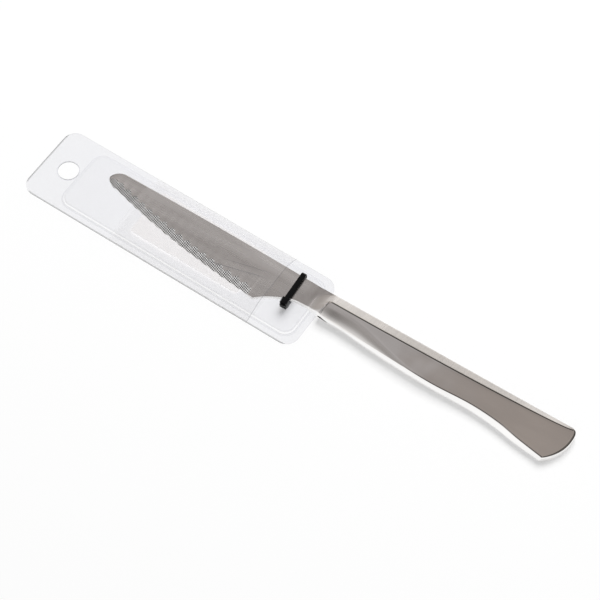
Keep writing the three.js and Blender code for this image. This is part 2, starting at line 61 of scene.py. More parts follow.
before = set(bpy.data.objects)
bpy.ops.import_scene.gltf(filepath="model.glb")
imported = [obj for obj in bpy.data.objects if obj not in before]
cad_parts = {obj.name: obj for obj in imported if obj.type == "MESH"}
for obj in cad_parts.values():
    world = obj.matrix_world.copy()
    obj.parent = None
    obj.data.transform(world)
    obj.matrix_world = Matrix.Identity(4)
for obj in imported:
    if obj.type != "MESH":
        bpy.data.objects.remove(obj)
CAD_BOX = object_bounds()
BODY = "root"
MM = 0.001

# Belly of the grip seen from above, as shares of the handle's length and of the grip's depth
BELLY_SHARES = ((0.019, 0.72), (0.102, 0.73), (0.203, 0.842), (0.348, 0.953), (0.491, 1.0),
                (0.633, 0.965), (0.755, 1.076), (0.859, 1.255), (1.04, 1.43))
BELLY_SAMPLES = 96      # straight pieces of the belly's curve
CORNER_STEPS = 5        # straight pieces of a rounded corner in a section
BAND_ROWS = 3           # points across the ground band of the edge
SKIRT_ROWS = 8          # points across the skirt between ridge and face of the handle
SIDE_SHARE = 0.45       # largest share of a side that a rounded corner takes
TOOTH_STEPS = 6         # sections in one tooth of the edge
FACE_ROWS = 18          # points across the handle's flat face
SIDE_ROWS = 6           # points across its shoulder, and across a half of the blade's face
BLADE_ROWS = {0: SKIRT_ROWS, 1: SIDE_ROWS, 2: SIDE_ROWS, 3: BAND_ROWS, 6: SIDE_ROWS,
              7: SIDE_ROWS, 8: SKIRT_ROWS}
HANDLE_ROWS = {0: SKIRT_ROWS, 1: FACE_ROWS, 2: SIDE_ROWS, 9: SIDE_ROWS, 10: FACE_ROWS,
               11: SKIRT_ROWS}
FRONT_SECTIONS = 30     # sections of the handle beside its open seam
REAR_SECTIONS = 90      # sections from there to the butt
FILM_SECTIONS = 60
FILM_ROWS = {2: 4, 6: 4}
FILM_ROUND = 2 * MM     # rounding of the film over tray and blade
FILM_FOLD = MM / 4      # rounding of the film round the rim
SKIRT_SHARE = 0.75      # share of the tray's skirt at which the film meets it
HEAD_SEGMENTS = 3       # straight pieces of the rounded edges of the tie's head
MERGE = MM / 1000
SKIRT_STEPS = 8         # rings up the tray's skirt
RING_STEPS = 10         # straight pieces in a quarter turn of the tray
SEAM_PARTS = 60         # width of the open seam over that of the shut one
SWELL_POWER = 4         # how late the face's shoulder broadens on the ramp
TOOTH_PROFILE = ((0.1, 0.0), (0.25, 1.0), (0.9, 0.0))   # tie's tooth: shares of pitch and depth
CREASE = math.radians(32)

# Steel. Brushing: stretch of the scratches, stretch of the tone, range of roughness
BLADE_BRUSH = ((25, 700, 700), (16, 110, 110), (0.24, 0.32))
NECK_BRUSH = ((1500, 40, 40), (120, 60, 60), (0.26, 0.4))
HANDLE_BRUSH = ((1500, 40, 40), (30, 130, 130), (0.25, 0.36))
BRUSH_DEPTH = 0.003 * MM
NOISE_RANGE = (0.3, 0.7)                # range in which a noise mostly lies
# Painted shade: the first tone is the dark steel painted between the painted glints
BLADE_TONES = (0.1, 0.68, 1.11)         # between the points, then darkest and lightest
HANDLE_TONES = (0.94, 1.06)
# Painted glints: a chequer of white points on dark steel on the ground edge, for the light that its
# fine grooves catch
CUT_GROOVES = ((1380, -178), (380, 1340))   # grooves per metre, along and across
GLINT_CONTRAST = (0.5, 0.42)
GLINT_SCATTER = 0.75                    # by which the points look less like a mirror
GROUND_ROUGHNESS = 0.22
MIRROR_ROUGHNESS = 0.09
SHOULDER_SATIN = 0.8                    # polish that the broad shoulder lacks
# Painted reflection: darkness of a line painted along the flat face's front edge, for a dark
# reflection there
PAINTED_LINE_SHADE = 0.75
# Painted shade: near-black colour blended into the handle where its gap attribute is set
PAINTED_SHADE_TONE = (0.005, 0.005, 0.005)
HANDLE_WAVES = (70.0, 1.0)              # scale and detail
HANDLE_WAVE_DEPTH = 0.1 * MM

# Clear sheet, from faint to full: its cut edges (rim), which carry painted shade and a painted
# shadow strip, and its faces (haze), which carry a painted shadow ring round the hole and painted
# light and shade on the skirt
RIM_OUTER, RIM_INNER, PAINTED_EDGE_SHADOW = 0.8, 0.2, 0.3
PAINTED_HOLE_SHADOW, PAINTED_STEEP_LIGHT, PAINTED_BEND_SHADE, HAZE_PLATFORM, HAZE_FLANGE = 0.2, 0.02, 0.17, 0.13, 0.1
UPRIGHT, STEEP, LEVEL = 0.1, 0.7, 0.99  # how far such a face looks up, at most
HAZE_FILM = 0.05
RIM_GAIN = 5.0
TRAY_EDGE_ON, FILM_EDGE_ON = 0.12, 0.1
SHEET_BLEND, SHEET_ROUGHNESS, SHEET_IOR = 0.35, 0.12, 1.5
SHEET_INDIRECT = 0.3                    # how far other rays than the camera's see the sheet
SHEET_WAVES = (120.0, 1.0)
SHEET_WAVE_DEPTH = 0.2 * MM
# Painted shade of the film's creases: ends seen from above, width and darkness of each dark line
FILM_CREASES = (((-0.043, -0.0066), (-0.0115, 0.0018), 0.00024, 0.5),
                ((-0.036, -0.0016), (-0.0115, 0.0046), 0.0002, 0.34))

# Matte pieces: roughness, scale of the grain and its depth
NYLON_FINISH = (0.36, 1500.0, 0.02 * MM)
PAPER_FINISH = (0.85, 900.0, 0.02 * MM)
CEMENT_FINISH = (0.9, 600.0, 0.1 * MM)
NYLON_SPECULAR = 0.13
GRAIN_DETAIL = (4.0, 0.65)
GRAIN_ROUGHNESS = 0.06
GRAIN_TONES = (0.96, 1.04)

# Studio: what the steel mirrors, by height over the horizon or by the way to the tip
WHITE = (1.0, 1.0, 1.0)
NEAR_SKY = ((0.0, WHITE), (0.6, WHITE), (0.78, (0.92, 0.9, 0.89)), (0.88, (0.66, 0.64, 0.63)),
            (0.94, (0.46, 0.445, 0.44)))
TIP_SKY = ((0.0, (0.6, 0.56, 0.53)), (0.16, (0.47, 0.43, 0.4)), (0.5, (0.37, 0.335, 0.31)),
           (0.7, (0.32, 0.29, 0.27)), (0.9, (0.29, 0.265, 0.25)))
FAR_SKY = ((0.0, (1.0, 0.97, 0.94)), (0.2, (0.8, 0.75, 0.71)), (0.33, (0.42, 0.39, 0.36)),
           (0.45, (0.03, 0.028, 0.026)), (0.68, (0.03, 0.028, 0.026)), (0.86, (0.11, 0.1, 0.09)))
SHEEN = ((0.13, (0.298, 0.261, 0.238)), (0.165, (0.265, 0.236, 0.22)),
         (0.192, (0.42, 0.397, 0.394)), (0.24, (0.39, 0.37, 0.363)), (0.295, (0.325, 0.3, 0.29)),
         (0.33, (0.38, 0.356, 0.346)), (0.355, (0.35, 0.322, 0.315)), (0.4, (0.56, 0.528, 0.512)))
OVERHEAD = ((0.06, 0.055, 0.05), (0.34, 0.32, 0.31))    # ceiling behind and in front
AMBIENT = (0.45, 0.45, 0.45)
TIP_LIMITS, NEAR_LIMITS = (0.3, 0.42), (-0.15, 0.3)
FRONT_LIMITS, CEILING_LIMITS = (0.195, 0.23), (0.89, 0.95)
SHEEN_ANGLES = (24, 14)                 # degrees off the camera's mirror image
CLOUD_NOISE, CLOUD_RANGE = (9.0, 2.0), (0.9, 1.1)
LAMP_PLACE, LAMP_SIZE, LAMP_POWER = Vector((-0.1, 1.3, 2.4)), 2.0, 57.5
FLOOR_SIZE, FLOOR_GLOW = 4.0, 0.3
FLOOR_DROP = MM / 20


def length(name, millimetres, description):
    """A length of the object that a user may change."""
    return bpy.props.FloatProperty(name=name, description=description,
                                   default=millimetres * MM, unit="LENGTH", precision=5)


def share(name, value, description):
    """A plain factor that a user may change."""
    return bpy.props.FloatProperty(name=name, description=description, default=value)


def angle(name, degrees, description):
    """An angle that a user may change."""
    return bpy.props.FloatProperty(name=name, description=description,
                                   default=math.radians(degrees), unit="ROTATION")


def colour(name, value, description):
    """A linear colour that a user may change."""
    return bpy.props.FloatVectorProperty(name=name, description=description, default=value,
                                         size=3, min=0, max=1, subtype="COLOR")


class BladeSizes(bpy.types.PropertyGroup):
    """Sizes of the blade, from the weld and from the axis of the tang."""

    length: length("Length", 102.6, "Tip to weld")
    spine_height: length("Spine height", 5.3, "Axis to spine at the weld")
    spine_crown: length("Spine crown", 0.82, "Rise of the spine's long arc")
    spine_crown_at: length("Crown place", 66, "Weld to the top of the spine's arc")
    tip_height: length("Tip height", 1.3, "Foremost point of the rounded tip")
    nose_length: length("Nose", 5.1, "Rounded part of the spine at the tip")
    chin_length: length("Chin", 4.2, "Rounded part of the edge at the tip")
    chin_height: length("Chin height", -1.65, "Where the edge runs into the rounding")
    heel_setback: length("Heel setback", 24.55, "Weld to heel corner")
    heel_depth: length("Heel depth", 13.1, "Axis to heel corner")
    belly_setback: length("Belly setback", 63, "Control point of the curved edge")
    belly_depth: length("Belly depth", 10.95, "Depth of that control point")
    choil_setback: length("Choil setback", 19.5, "Control point of the hollow at the heel")
    choil_depth: length("Choil depth", 8.1, "Depth of that control point")
    neck_setback: length("Neck setback", 10.2, "Where the hollow runs into the neck")
    neck_depth: length("Neck depth", 5.25, "Axis to the underside of the neck")
    neck_thickness: length("Neck thickness", 2, "Thickness of the blade at the weld")
    tip_thickness: length("Tip thickness", 1.3, "Thickness of the blade at the tip")
    edge_taper: share("Edge taper", 0.72, "Thickness above the ground band over the spine's")
    edge_break: length("Edge break", 0.3, "Broken edges of the spine and neck")
    choil_break: length("Choil break", 0.07, "Broken edges of the hollow at the heel")
    grind_width: length("Grind width", 3.5, "Ground band on the face")
    edge_land: length("Edge land", 0.15, "Thickness left at the very edge")
    tooth_pitch: length("Tooth pitch", 0.84, "Length of one tooth")
    tooth_depth: length("Tooth depth", 0.3, "Depth of the gap between two teeth")
    groove_depth: length("Groove depth", 0.1, "Depth of a groove in the ground band")
    teeth_per_wave: bpy.props.IntProperty(
        name="Teeth per wave", description="Fine teeth in one wave of the edge", default=5)
    wave_depth: length("Wave depth", 0.35, "Depth of one wave of the edge")
    wave_pinch: share("Wave pinch", 0.74, "Width of the ground band between two waves")
    run_out: length("Run-out", 0.5, "Length in which the ground band ends at heel and tip")
    plain_heel: length("Plain heel", 2.8, "Edge left plain in front of the heel")
    tang_length: length("Tang length", 46, "Weld to the end of the tang")
    tang_width: length("Tang width", 5, "Mean width of the tang")
    tang_thickness: length("Tang thickness", 1.6, "Thickness of the tang")


class HandleSizes(bpy.types.PropertyGroup):
    """Sizes of the handle, from the weld and from the axis of the tang."""

    length: length("Length", 108.1, "Weld to butt")
    front_thickness: length("Front thickness", 6.2, "Thickness behind the bolster")
    butt_thickness: length("Butt thickness", 3.85, "Thickness at the butt")
    ramp_foot: length("Ramp foot", -5, "Where the neck starts to swell")
    ramp_crest: length("Ramp crest", 1.3, "Where the flat face starts")
    ramp_hollow: share("Ramp hollow", 1.8, "Power of the ramp's concave rise")
    spine_side_front: length("Spine side, front", 5.7, "Axis to the spine side in front")
    spine_side_butt: length("Spine side, butt", 6.7, "Axis to the spine side at the butt")
    spine_bevel: length("Spine bevel", 4.15, "Wide bevel along the spine side")
    spine_bevel_end: length("Bevel end", 0.6, "Where that bevel runs out, from the butt")
    spine_land: length("Spine land", 0.5, "Half height of the ridge on the spine side")
    bevel_slope: share("Bevel slope", 0.53, "Steepest fall of the spine bevel over its width")
    ridge_draw: share("Ridge draw", 0.49, "By which the ridge draws in where it rises")
    face_corner: length("Face corner", 1.8, "Rounded front corner of the flat face")
    face_break: length("Face break", 0.72, "Soft edges of the flat face")
    butt_break: share("Butt break", 0.85, "Share of the soft edge that is left at the butt")
    # Painted reflection: width of a dark line painted along the face's front edge, for a dark
    # reflection there
    painted_front_line: length("Front line", 0.5, "Dark line at the front edge of the flat face")
    front_roll: length("Front roll", 6.2, "Broad soft shoulder of the face beside the bolster")
    front_roll_slope: share("Front roll slope", 0.255, "Fall of that shoulder over its width")
    rear_roll: length("Rear roll", 0.9, "Narrow shoulder of the face in front of the butt")
    rear_roll_slope: share("Rear roll slope", 0.2, "Fall of that shoulder over its width")
    roll_start: length("Roll start", 12, "Weld to where the broad shoulder starts to narrow")
    roll_end: length("Roll end", 46, "Weld to where the broad shoulder has run out")
    grip_depth: length("Grip depth", 8.55, "Axis to the belly where the hand closes")
    belly_wall: share("Belly wall", 0.333, "Share of the half thickness that stands upright")
    belly_bevel: length("Belly bevel", 0.6, "Narrow bevel along the belly side")
    bevel_extra: length("Bevel widening", 0.85, "By which it widens in front of the butt")
    bevel_extra_at: length("Widening place", 28.4, "From the butt to the middle of that")
    bevel_extra_span: length("Widening span", 33, "Half length of the widening")
    butt_radius: length("Butt radius", 17.25, "Arc of the butt")
    butt_axis: length("Butt axis", 1.6, "Tang's axis to the centre of that arc")
    butt_corner: length("Butt corner", 3.5, "Rounded corner on the spine side")
    butt_roll: length("Butt roll", 1.1, "Soft edge of the butt, along the handle")
    butt_drop: length("Butt drop", 0.38, "Fall of that edge")
    butt_start: length("Butt start", 30, "Length over which the sections bend to the arc")
    slit_start: length("Slit start", 0.3, "Weld to the open end of the seam")
    slit_length: length("Slit length", 5.2, "Open end of the seam")
    slit_width: length("Slit width", 1.0, "Widest gap of the open seam")
    slit_rise: length("Slit rise", 0.2, "Lower lip of the gap over the seam")
    slit_depth: length("Slit depth", 1.1, "How deep the open seam looks")


class GuardSizes(bpy.types.PropertyGroup):
    """Sizes of the tray and the film, laid out from the tie."""

    tip_room: length("Tip room", 12.2, "Platform in front of the tip")
    ramp_room: length("Ramp room", 4.2, "How far the tray reaches under the bolster")
    edge_room: length("Edge room", 8.85, "Heel to the rim beside it")
    spine_room: length("Spine room", 5.9, "Spine to the rim beside it")
    corner: length("Corner", 5.5, "Rounded corners of the tray")
    sheet: length("Sheet", 0.4, "Thickness of the sheet")
    turn: angle("Turn", -0.68, "Slant of the tray against the knife")
    tab_length: length("Tab", 15.6, "Flat hanging tab")
    flange_width: length("Flange", 2.4, "Flat rim")
    skirt_run: length("Skirt", 1.8, "Run of the slope up to the platform")
    rise: length("Rise", 1.3, "Flange to platform")
    clearance: length("Clearance", 0.3, "Neck to platform")
    hang_hole: length("Hang hole", 8.5, "Diameter of the hang hole")
    hang_hole_at: length("Hole place", 10.9, "From the end of the tab")
    slit_gap: length("Slit gap", 0.25, "Room for the strap in its slits")
    film_gap: length("Film gap", 0.2, "Film to what it covers")
    film_clear: length("Film clear", 6.4, "Head of the tie to the film")
    film_length: length("Film length", 66.2, "Length of the sleeve")
    # Painted shadow: the upper face of this end strip is darkened, for the cut edge and its shadow
    film_lip: length("Film lip", 0.35, "Cut end of the film that catches the light")
    # Painted shadow: width of a darker strip along the near rim and the tab end
    rim_shadow_strip: length("Rim lip", 0.5, "Cut strip along the rim that looks darker")
    # Painted shadow: width of a hazier ring round the hang hole, for the sheet's shadow seen inside
    # it
    hole_shadow_ring: length("Hole lip", 0.45, "Punched ring round the hang hole")
    label_start: length("Label start", 4.5, "From the film's front end to the label")
    label_length: length("Label length", 51, "Length of the label")
    label_width: length("Label width", 21.6, "Width of the label")
    label_offset: length("Label offset", 2.2, "Middle of the tray to the label's")
    label_corner: length("Label corner", 1.5, "Rounded corners of the label")
    label_sheet: length("Label sheet", 0.15, "Thickness of the label")


class TieSizes(bpy.types.PropertyGroup):
    """Sizes of the cable tie."""

    setback: length("Setback", 13.25, "Weld to the middle of the strap")
    turn: angle("Turn", 2.9, "Slant of the tie against the tray")
    strap_width: length("Strap width", 2.05, "Width of the strap")
    strap_thickness: length("Strap thickness", 0.9, "Thickness of the strap")
    bend: length("Bend", 0.5, "Inner radius of the strap's bends")
    strap_round: length("Strap round", 0.28, "Rounded edges of the strap")
    head_length: length("Head length", 2.8, "Length of the head along the strap")
    head_width: length("Head width", 2.8, "Width of the head")
    head_wall: length("Head wall", 0.4, "Wall round the head's window")
    head_round: length("Head round", 0.3, "Rounded edges of the head")
    tail: length("Tail", 0.7, "Trimmed end of the strap")
    gap: length("Gap", 0.25, "Room round the strap")
    tooth_pitch: length("Tooth pitch", 0.8, "Pitch of the strap's teeth")
    tooth_depth: length("Tooth depth", 0.2, "Depth of the strap's teeth")


class Finishes(bpy.types.PropertyGroup):
    """Colours of the pieces."""

    blade: colour("Blade", (0.95, 0.93, 0.92), "Satin stainless steel")
    handle: colour("Handle", (0.93, 0.92, 0.91), "Polished stainless steel")
    sheet: colour("Sheet", (0.45, 0.455, 0.53), "Clear formed sheet")
    film: colour("Film", (0.8, 0.77, 0.76), "Clear film")
    # Painted shade: dark colour of the sheet's cut edges, of the film's creases and of the painted
    # shadow strips along rim and film end
    rim: colour("Rim", (0.2, 0.2, 0.21), "Cut edges of clear sheet")
    paper: colour("Paper", (1.0, 0.955, 0.93), "Blank label")
    nylon: colour("Nylon", (0.004, 0.004, 0.0045), "Black tie")
    cement: colour("Cement", (0.48, 0.44, 0.36), "Filling of the handle")
    floor: colour("Floor", (0.97, 0.97, 0.97), "Plain floor")


class StageSettings(bpy.types.PropertyGroup):
    """Camera and studio."""

    azimuth: angle("Azimuth", 33.43, "Camera's turn round the object")
    elevation: angle("Elevation", 59.5, "Camera's height over the horizon")
    distance: length("Distance", 800, "Camera to its target")
    frame_width: length("Frame width", 230.1, "Width of the view at the target")
    target: bpy.props.FloatVectorProperty(
        name="Target", description="Point in the middle of the view",
        default=(0.002189, 0.000918, 0.0031), size=3, subtype="TRANSLATION", precision=6)


GROUPS = {"knife_blade": BladeSizes, "knife_handle": HandleSizes, "knife_guard": GuardSizes,
          "knife_tie": TieSizes, "knife_finish": Finishes, "knife_stage": StageSettings}


# Small helpers
def clamp(value, low=0.0, high=1.0):
    return min(high, max(low, value))


def mix(a, b, t):
    return a + (b - a) * t


def ease(value):
    """Smooth step from 0 to 1."""
    t = clamp(value)
    return t * t * (3 - 2 * t)


def bend(p0, p1, p2, t):
    """Point of a quadratic curve."""
    return p0.lerp(p1, t).lerp(p1.lerp(p2, t), t)


def bend_at(p0, p1, p2, x):
    """Height of a quadratic curve at a given x."""
    a = p0.x - 2 * p1.x + p2.x
    b = 2 * (p1.x - p0.x)
    c = p0.x - x
    return bend(p0, p1, p2, (-b + math.sqrt(b * b - 4 * a * c)) / (2 * a)).y


def even_steps(points, count):
    """Points at equal distances along a polyline."""
    reach = [0.0]
    for a, b in zip(points, points[1:]):
        reach.append(reach[-1] + (b - a).length)
    steps = []
    i = 1
    for step in range(count + 1):
        goal = reach[-1] * step / count
        while i < len(points) - 1 and reach[i] < goal:
            i += 1
        along = (goal - reach[i - 1]) / (reach[i] - reach[i - 1])
        steps.append(points[i - 1].lerp(points[i], along))
    return steps


def soften(corners, rows):
    """Outline of a section with each corner (y, z, reach) rounded.

    rows gives how many points lie on the side after a corner, by the corner's place."""
    rounds = []
    for i, (y, z, reach) in enumerate(corners):
        here = Vector((y, z))
        ends = []
        for other in (corners[i - 1], corners[(i + 1) % len(corners)]):
            away = Vector(other[:2]) - here
            ends.append(here + away * min(SIDE_SHARE, reach / away.length))
        rounds.append([bend(ends[0], here, ends[1], step / CORNER_STEPS)
                       for step in range(CORNER_STEPS + 1)])
    outline = []
    for i, corner in enumerate(rounds):
        outline += corner
        start, end = corner[-1], rounds[(i + 1) % len(rounds)][0]
        count = rows.get(i, 0)
        outline += [start.lerp(end, (row + 1) / (count + 1)) for row in range(count)]
    return outline


def at_x(x, outline):
    """Points of a section's outline in space."""
    return [Vector((x, point.x, point.y)) for point in outline]


def rectangle(x0, x1, y0, y1):
    return (x0, y0), (x1, y0), (x1, y1), (x0, y1)


def draw_loop(bm, points):
    """Closed loop of edges through the points."""
    loop = [bm.verts.new(point) for point in points]
    return loop, [bm.edges.new(pair) for pair in zip(loop, loop[1:] + loop[:1])]


def grow(bm, loop, edges, points):
    """Extrude a closed loop of edges and lay its new corners on the points."""
    made = bmesh.ops.extrude_edge_only(bm, edges=edges)["geom"]
    fresh = {item for item in made if isinstance(item, bmesh.types.BMVert)}
    loop = [next(edge.other_vert(vert) for edge in vert.link_edges
                 if edge.other_vert(vert) in fresh) for vert in loop]
    for vert, point in zip(loop, points):
        vert.co = point
    return loop, [bm.edges.get(pair) for pair in zip(loop, loop[1:] + loop[:1])]


def loft(bm, sections):
    """Draw the first section as a closed loop, then grow it from section to section.

    Returns the strips of faces, one list per step, in the order of the section's points."""
    loop, edges = draw_loop(bm, sections[0])
    bmesh.ops.edgeloop_fill(bm, edges=edges)
    strips = []
    for section in sections[1:]:
        loop, edges = grow(bm, loop, edges, section)
        strips.append([edge.link_faces[0] for edge in edges])
    bmesh.ops.edgeloop_fill(bm, edges=edges)
    return strips


def thicken(bm, thickness):
    """Turn a sheet face up and give it its thickness."""
    bmesh.ops.recalc_face_normals(bm, faces=bm.faces)
    if sum(face.normal.z for face in bm.faces) < 0:
        bmesh.ops.reverse_faces(bm, faces=bm.faces)
    bmesh.ops.solidify(bm, geom=bm.faces[:], thickness=thickness)


def face_layers(bm, *names):
    """New layers of values on the faces."""
    for name in names:
        bm.faces.layers.float.new(name)
    return [bm.faces.layers.float[name] for name in names]


def finish_piece(bm, name, place, material, nodes, shadow=True):
    """Make the mesh an object in its place, and tie it to the frame."""
    bm.transform(place)
    bmesh.ops.recalc_face_normals(bm, faces=bm.faces)
    mesh = bpy.data.meshes.new(name)
    bm.to_mesh(mesh)
    bm.free()
    mesh.shade_smooth()
    mesh.set_sharp_from_angle(angle=CREASE)
    mesh.materials.append(material)
    piece = bpy.data.objects.new(name, mesh)
    piece.visible_shadow = shadow
    bpy.context.scene.collection.objects.link(piece)
    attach(piece, BODY)
    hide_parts(*nodes)
    return piece


# Places of the knife and of the guard in the frame
def face_slope(h):
    """Fall of the handle's face over its length."""
    return (h.front_thickness - h.butt_thickness) / 2 / h.length


def knife_place(scene):
    """The knife lies on the flat underside of its handle, so it is tilted by that face's slope."""
    h, b = scene.knife_handle, scene.knife_blade
    tilt = math.atan(face_slope(h))
    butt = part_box("handle_shell_upper")[1][0]
    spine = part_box("blade")[1][1]
    reach = h.length * math.cos(tilt) + h.butt_thickness / 2 * math.sin(tilt)
    weld = Vector((butt - reach, spine - b.spine_height - b.spine_crown,
                   h.front_thickness / 2 * math.cos(tilt)))
    return Matrix.Translation(weld) @ Matrix.Rotation(tilt, 4, "Y")


def guard_place(scene):
    """The guard's own frame starts at the tie and is turned a little against the knife."""
    tie = Matrix.Translation((-scene.knife_tie.setback, 0, 0))
    return knife_place(scene) @ tie @ Matrix.Rotation(scene.knife_guard.turn, 4, "Z")


# Outline of the blade
def edge_controls(b):
    """Control points of the curved edge, from chin to heel."""
    return (Vector((-b.length + b.chin_length, b.chin_height)),
            Vector((-b.belly_setback, -b.belly_depth)), Vector((-b.heel_setback, -b.heel_depth)))


def choil_controls(b):
    """Control points of the hollow between heel and neck."""
    return (Vector((-b.heel_setback, -b.heel_depth)), Vector((-b.choil_setback, -b.choil_depth)),
            Vector((-b.neck_setback, -b.neck_depth)))


def round_off(x, start, end):
    """Quarter of an ellipse: 0 at the start of a rounded end, 1 where it is over."""
    reach = max(0.0, (end - x) / (end - start))
    return math.sqrt(max(0.0, 1 - reach * reach))


def spine_y(b, x):
    along = (x + b.spine_crown_at) / b.spine_crown_at
    arc = b.spine_height + b.spine_crown * (1 - along * along)
    nose = -b.length + b.nose_length
    if x >= nose:
        return arc
    return b.tip_height + (arc - b.tip_height) * round_off(x, -b.length, nose)


def chin_y(b, x):
    start, control, _ = edge_controls(b)
    rise = control - start
    straight = b.chin_height + (x - start.x) * rise.y / rise.x
    return b.tip_height - (b.tip_height - straight) * round_off(x, -b.length, start.x)


def edge_y(b, x):
    """Lower outline of the blade, from tip to neck."""
    if x < -b.length + b.chin_length:
        return chin_y(b, x)
    if x < -b.heel_setback:
        return bend_at(*edge_controls(b), x)
    return bend_at(*choil_controls(b), x) if x < -b.neck_setback else -b.neck_depth


def blade_section(b, x, low, grind=0.0, notch=0.0, groove=0.0, swell=1.0):
    """Slice of the blade. grind is 1 where the edge is ground, groove is 1 between two teeth and
    swell is 1 in the middle of a wave."""
    spine = spine_y(b, x)
    half = mix(b.neck_thickness, b.tip_thickness, min(1.0, -x / b.length)) / 2
    edge = low + notch
    room = spine - edge
    soft = min(b.edge_break, room / 4, half / 2)
    past_heel = ease((x + b.heel_setback) / (b.heel_setback - b.neck_setback))
    lip = min(soft, mix(b.choil_break, b.edge_break, past_heel))
    face = half * mix(b.edge_taper, 1, past_heel)
    band = min(mix(lip, b.grind_width * mix(b.wave_pinch, 1, swell), grind), room / 2)
    top = mix(face - lip, 2 * b.edge_land - face, grind)
    bottom = mix(lip - face, b.edge_land - face, grind)
    keen = mix(lip / 2, b.edge_land / 4, grind)
    middle = (edge + band + spine) / 2
    corners = [(spine, half - soft, soft / 2), (spine - soft, half, soft / 2),
               (middle, (half + face) / 2, soft), (edge + band, face, lip / 2),
               (edge, top, keen), (edge, bottom, keen), (edge + lip, -face, lip / 2),
               (middle, -(half + face) / 2, soft), (spine - soft, -half, soft / 2),
               (spine, soft - half, soft / 2)]
    outline = soften(corners, BLADE_ROWS)
    for row, column in enumerate(band_columns()):
        deep = math.sin(math.pi * (row + 1) / (BAND_ROWS + 1))
        outline[column].y -= grind * groove * b.groove_depth * deep
    return at_x(x, outline)


def band_columns():
    """Places of the ground band's inner points in a slice of the blade."""
    first = 4 * (CORNER_STEPS + 1) + SKIRT_ROWS + 2 * SIDE_ROWS
    return range(first, first + BAND_ROWS)


def blade_sections(b, h):
    """Slices from the rounded tip over the toothed edge, the heel and the neck to the weld.

    Also returns, for each slice of the edge, how far it is ground."""
    sections = []
    marks = []
    tip_steps = 3 * CORNER_STEPS
    for step in range(1, tip_steps):
        x = -b.length + b.chin_length * (1 - math.cos(step / tip_steps * math.pi / 2))
        grind = ease(step / tip_steps)
        sections.append(blade_section(b, x, chin_y(b, x), grind))
        marks.append(grind)
    controls = edge_controls(b)
    edge = [bend(*controls, i / BELLY_SAMPLES) for i in range(BELLY_SAMPLES + 1)]
    whole = sum((q - p).length for p, q in zip(edge, edge[1:]))
    teeth = round((whole - b.plain_heel) / b.tooth_pitch)
    steps = teeth * TOOTH_STEPS
    fine = round(steps * whole / (whole - b.plain_heel))
    run_out = round(b.run_out / b.tooth_pitch * TOOTH_STEPS)
    for i, point in enumerate(even_steps(edge, fine)):
        phase = i % TOOTH_STEPS / TOOTH_STEPS
        groove = 1 - (2 * phase - 1) ** 2
        wave = math.sin(math.pi * i / TOOTH_STEPS / b.teeth_per_wave) ** 2
        grind = 1 - clamp((i - steps) / run_out)
        notch = grind * (b.wave_depth * wave + groove * b.tooth_depth)
        sections.append(blade_section(b, point.x, point.y, grind, notch, groove, wave))
        marks.append(grind)
    choil = choil_controls(b)
    for step in range(1, 2 * RING_STEPS + 1):
        point = bend(*choil, step / (2 * RING_STEPS))
        sections.append(blade_section(b, point.x, point.y))
    line = belly_line(b, h)
    for step in range(2 * RING_STEPS + 1):
        x = mix(h.ramp_foot, 0, step / (2 * RING_STEPS))
        upper = handle_corners(b, h, x, line)
        outline = soften(upper + mirrored(upper), BLADE_ROWS)
        lay_skirt(b, h, x, outline)
        lay_shoulder(h, x, belly_y(line, x), outline, BLADE_ROWS)
        sections.append(at_x(x, outline))
    return sections, marks


# Outline of the handle
def belly_line(b, h):
    """Belly of the handle seen from above: a smooth curve through its points."""
    points = [Vector((h.ramp_foot, -b.neck_depth))]
    points += [Vector((along * h.length, -deep * h.grip_depth)) for along, deep in BELLY_SHARES]
    curve = []
    ends = [points[0]] + points + [points[-1]]
    steps = BELLY_SAMPLES // len(points)
    for p0, p1, p2, p3 in zip(ends, ends[1:], ends[2:], ends[3:]):
        for step in range(steps):
            t = step / steps
            pull = (p2 - p0) * t + (2 * p0 - 5 * p1 + 4 * p2 - p3) * t ** 2
            curve.append(p1 + (pull + (3 * p1 - p0 - 3 * p2 + p3) * t ** 3) / 2)
    return curve + [points[-1]]


def belly_y(line, x):
    i = max(1, next((i for i, point in enumerate(line) if point.x >= x), len(line) - 1))
    a, c = line[i - 1], line[i]
    return mix(a.y, c.y, (x - a.x) / (c.x - a.x))


def half_thickness(h, x):
    """Seam to the flat face of the handle."""
    return h.front_thickness / 2 - face_slope(h) * max(x, h.ramp_crest)


def swell_at(h, x):
    """How far the neck has swollen to the handle: 0 at the ramp's foot, 1 at its crest."""
    return clamp((x - h.ramp_foot) / (h.ramp_crest - h.ramp_foot))


def far_side(b, h, x):
    """Spine side of the handle, the width of its bevel and the height of its ridge."""
    swell = swell_at(h, x)
    half = half_thickness(h, x)
    run = clamp(x / (h.length - h.spine_bevel_end))
    bevel = h.spine_bevel * math.sqrt(1 - run * run) + h.face_break
    ridge = max(h.spine_land, half - bevel * h.bevel_slope)
    side = mix(h.spine_side_front, h.spine_side_butt, x / h.length)
    side -= (ridge - h.spine_land) * h.ridge_draw
    return mix(b.spine_height, side, swell), bevel, ridge


def skirt_height(b, h, x, y):
    """Height of the skin outside the flat face: a hollow ramp in front of it and a plain bevel on
    its spine side, with a smooth turn round the face's front corner."""
    spine, bevel, ridge = far_side(b, h, x)
    half = half_thickness(h, x)
    corner = h.face_corner
    ahead = max(0.0, h.ramp_crest + corner - x)
    aside = max(0.0, y - spine + bevel + corner)
    away = math.hypot(ahead, aside)
    if away <= corner:
        return half
    to_spine = (aside / away) ** 2
    width = mix(h.ramp_crest - h.ramp_foot, bevel, to_spine)
    left = clamp(1 - (away - corner) / width)
    base = mix(b.neck_thickness / 2, ridge, to_spine)
    return base + (half - base) * left ** mix(h.ramp_hollow, 1, to_spine)


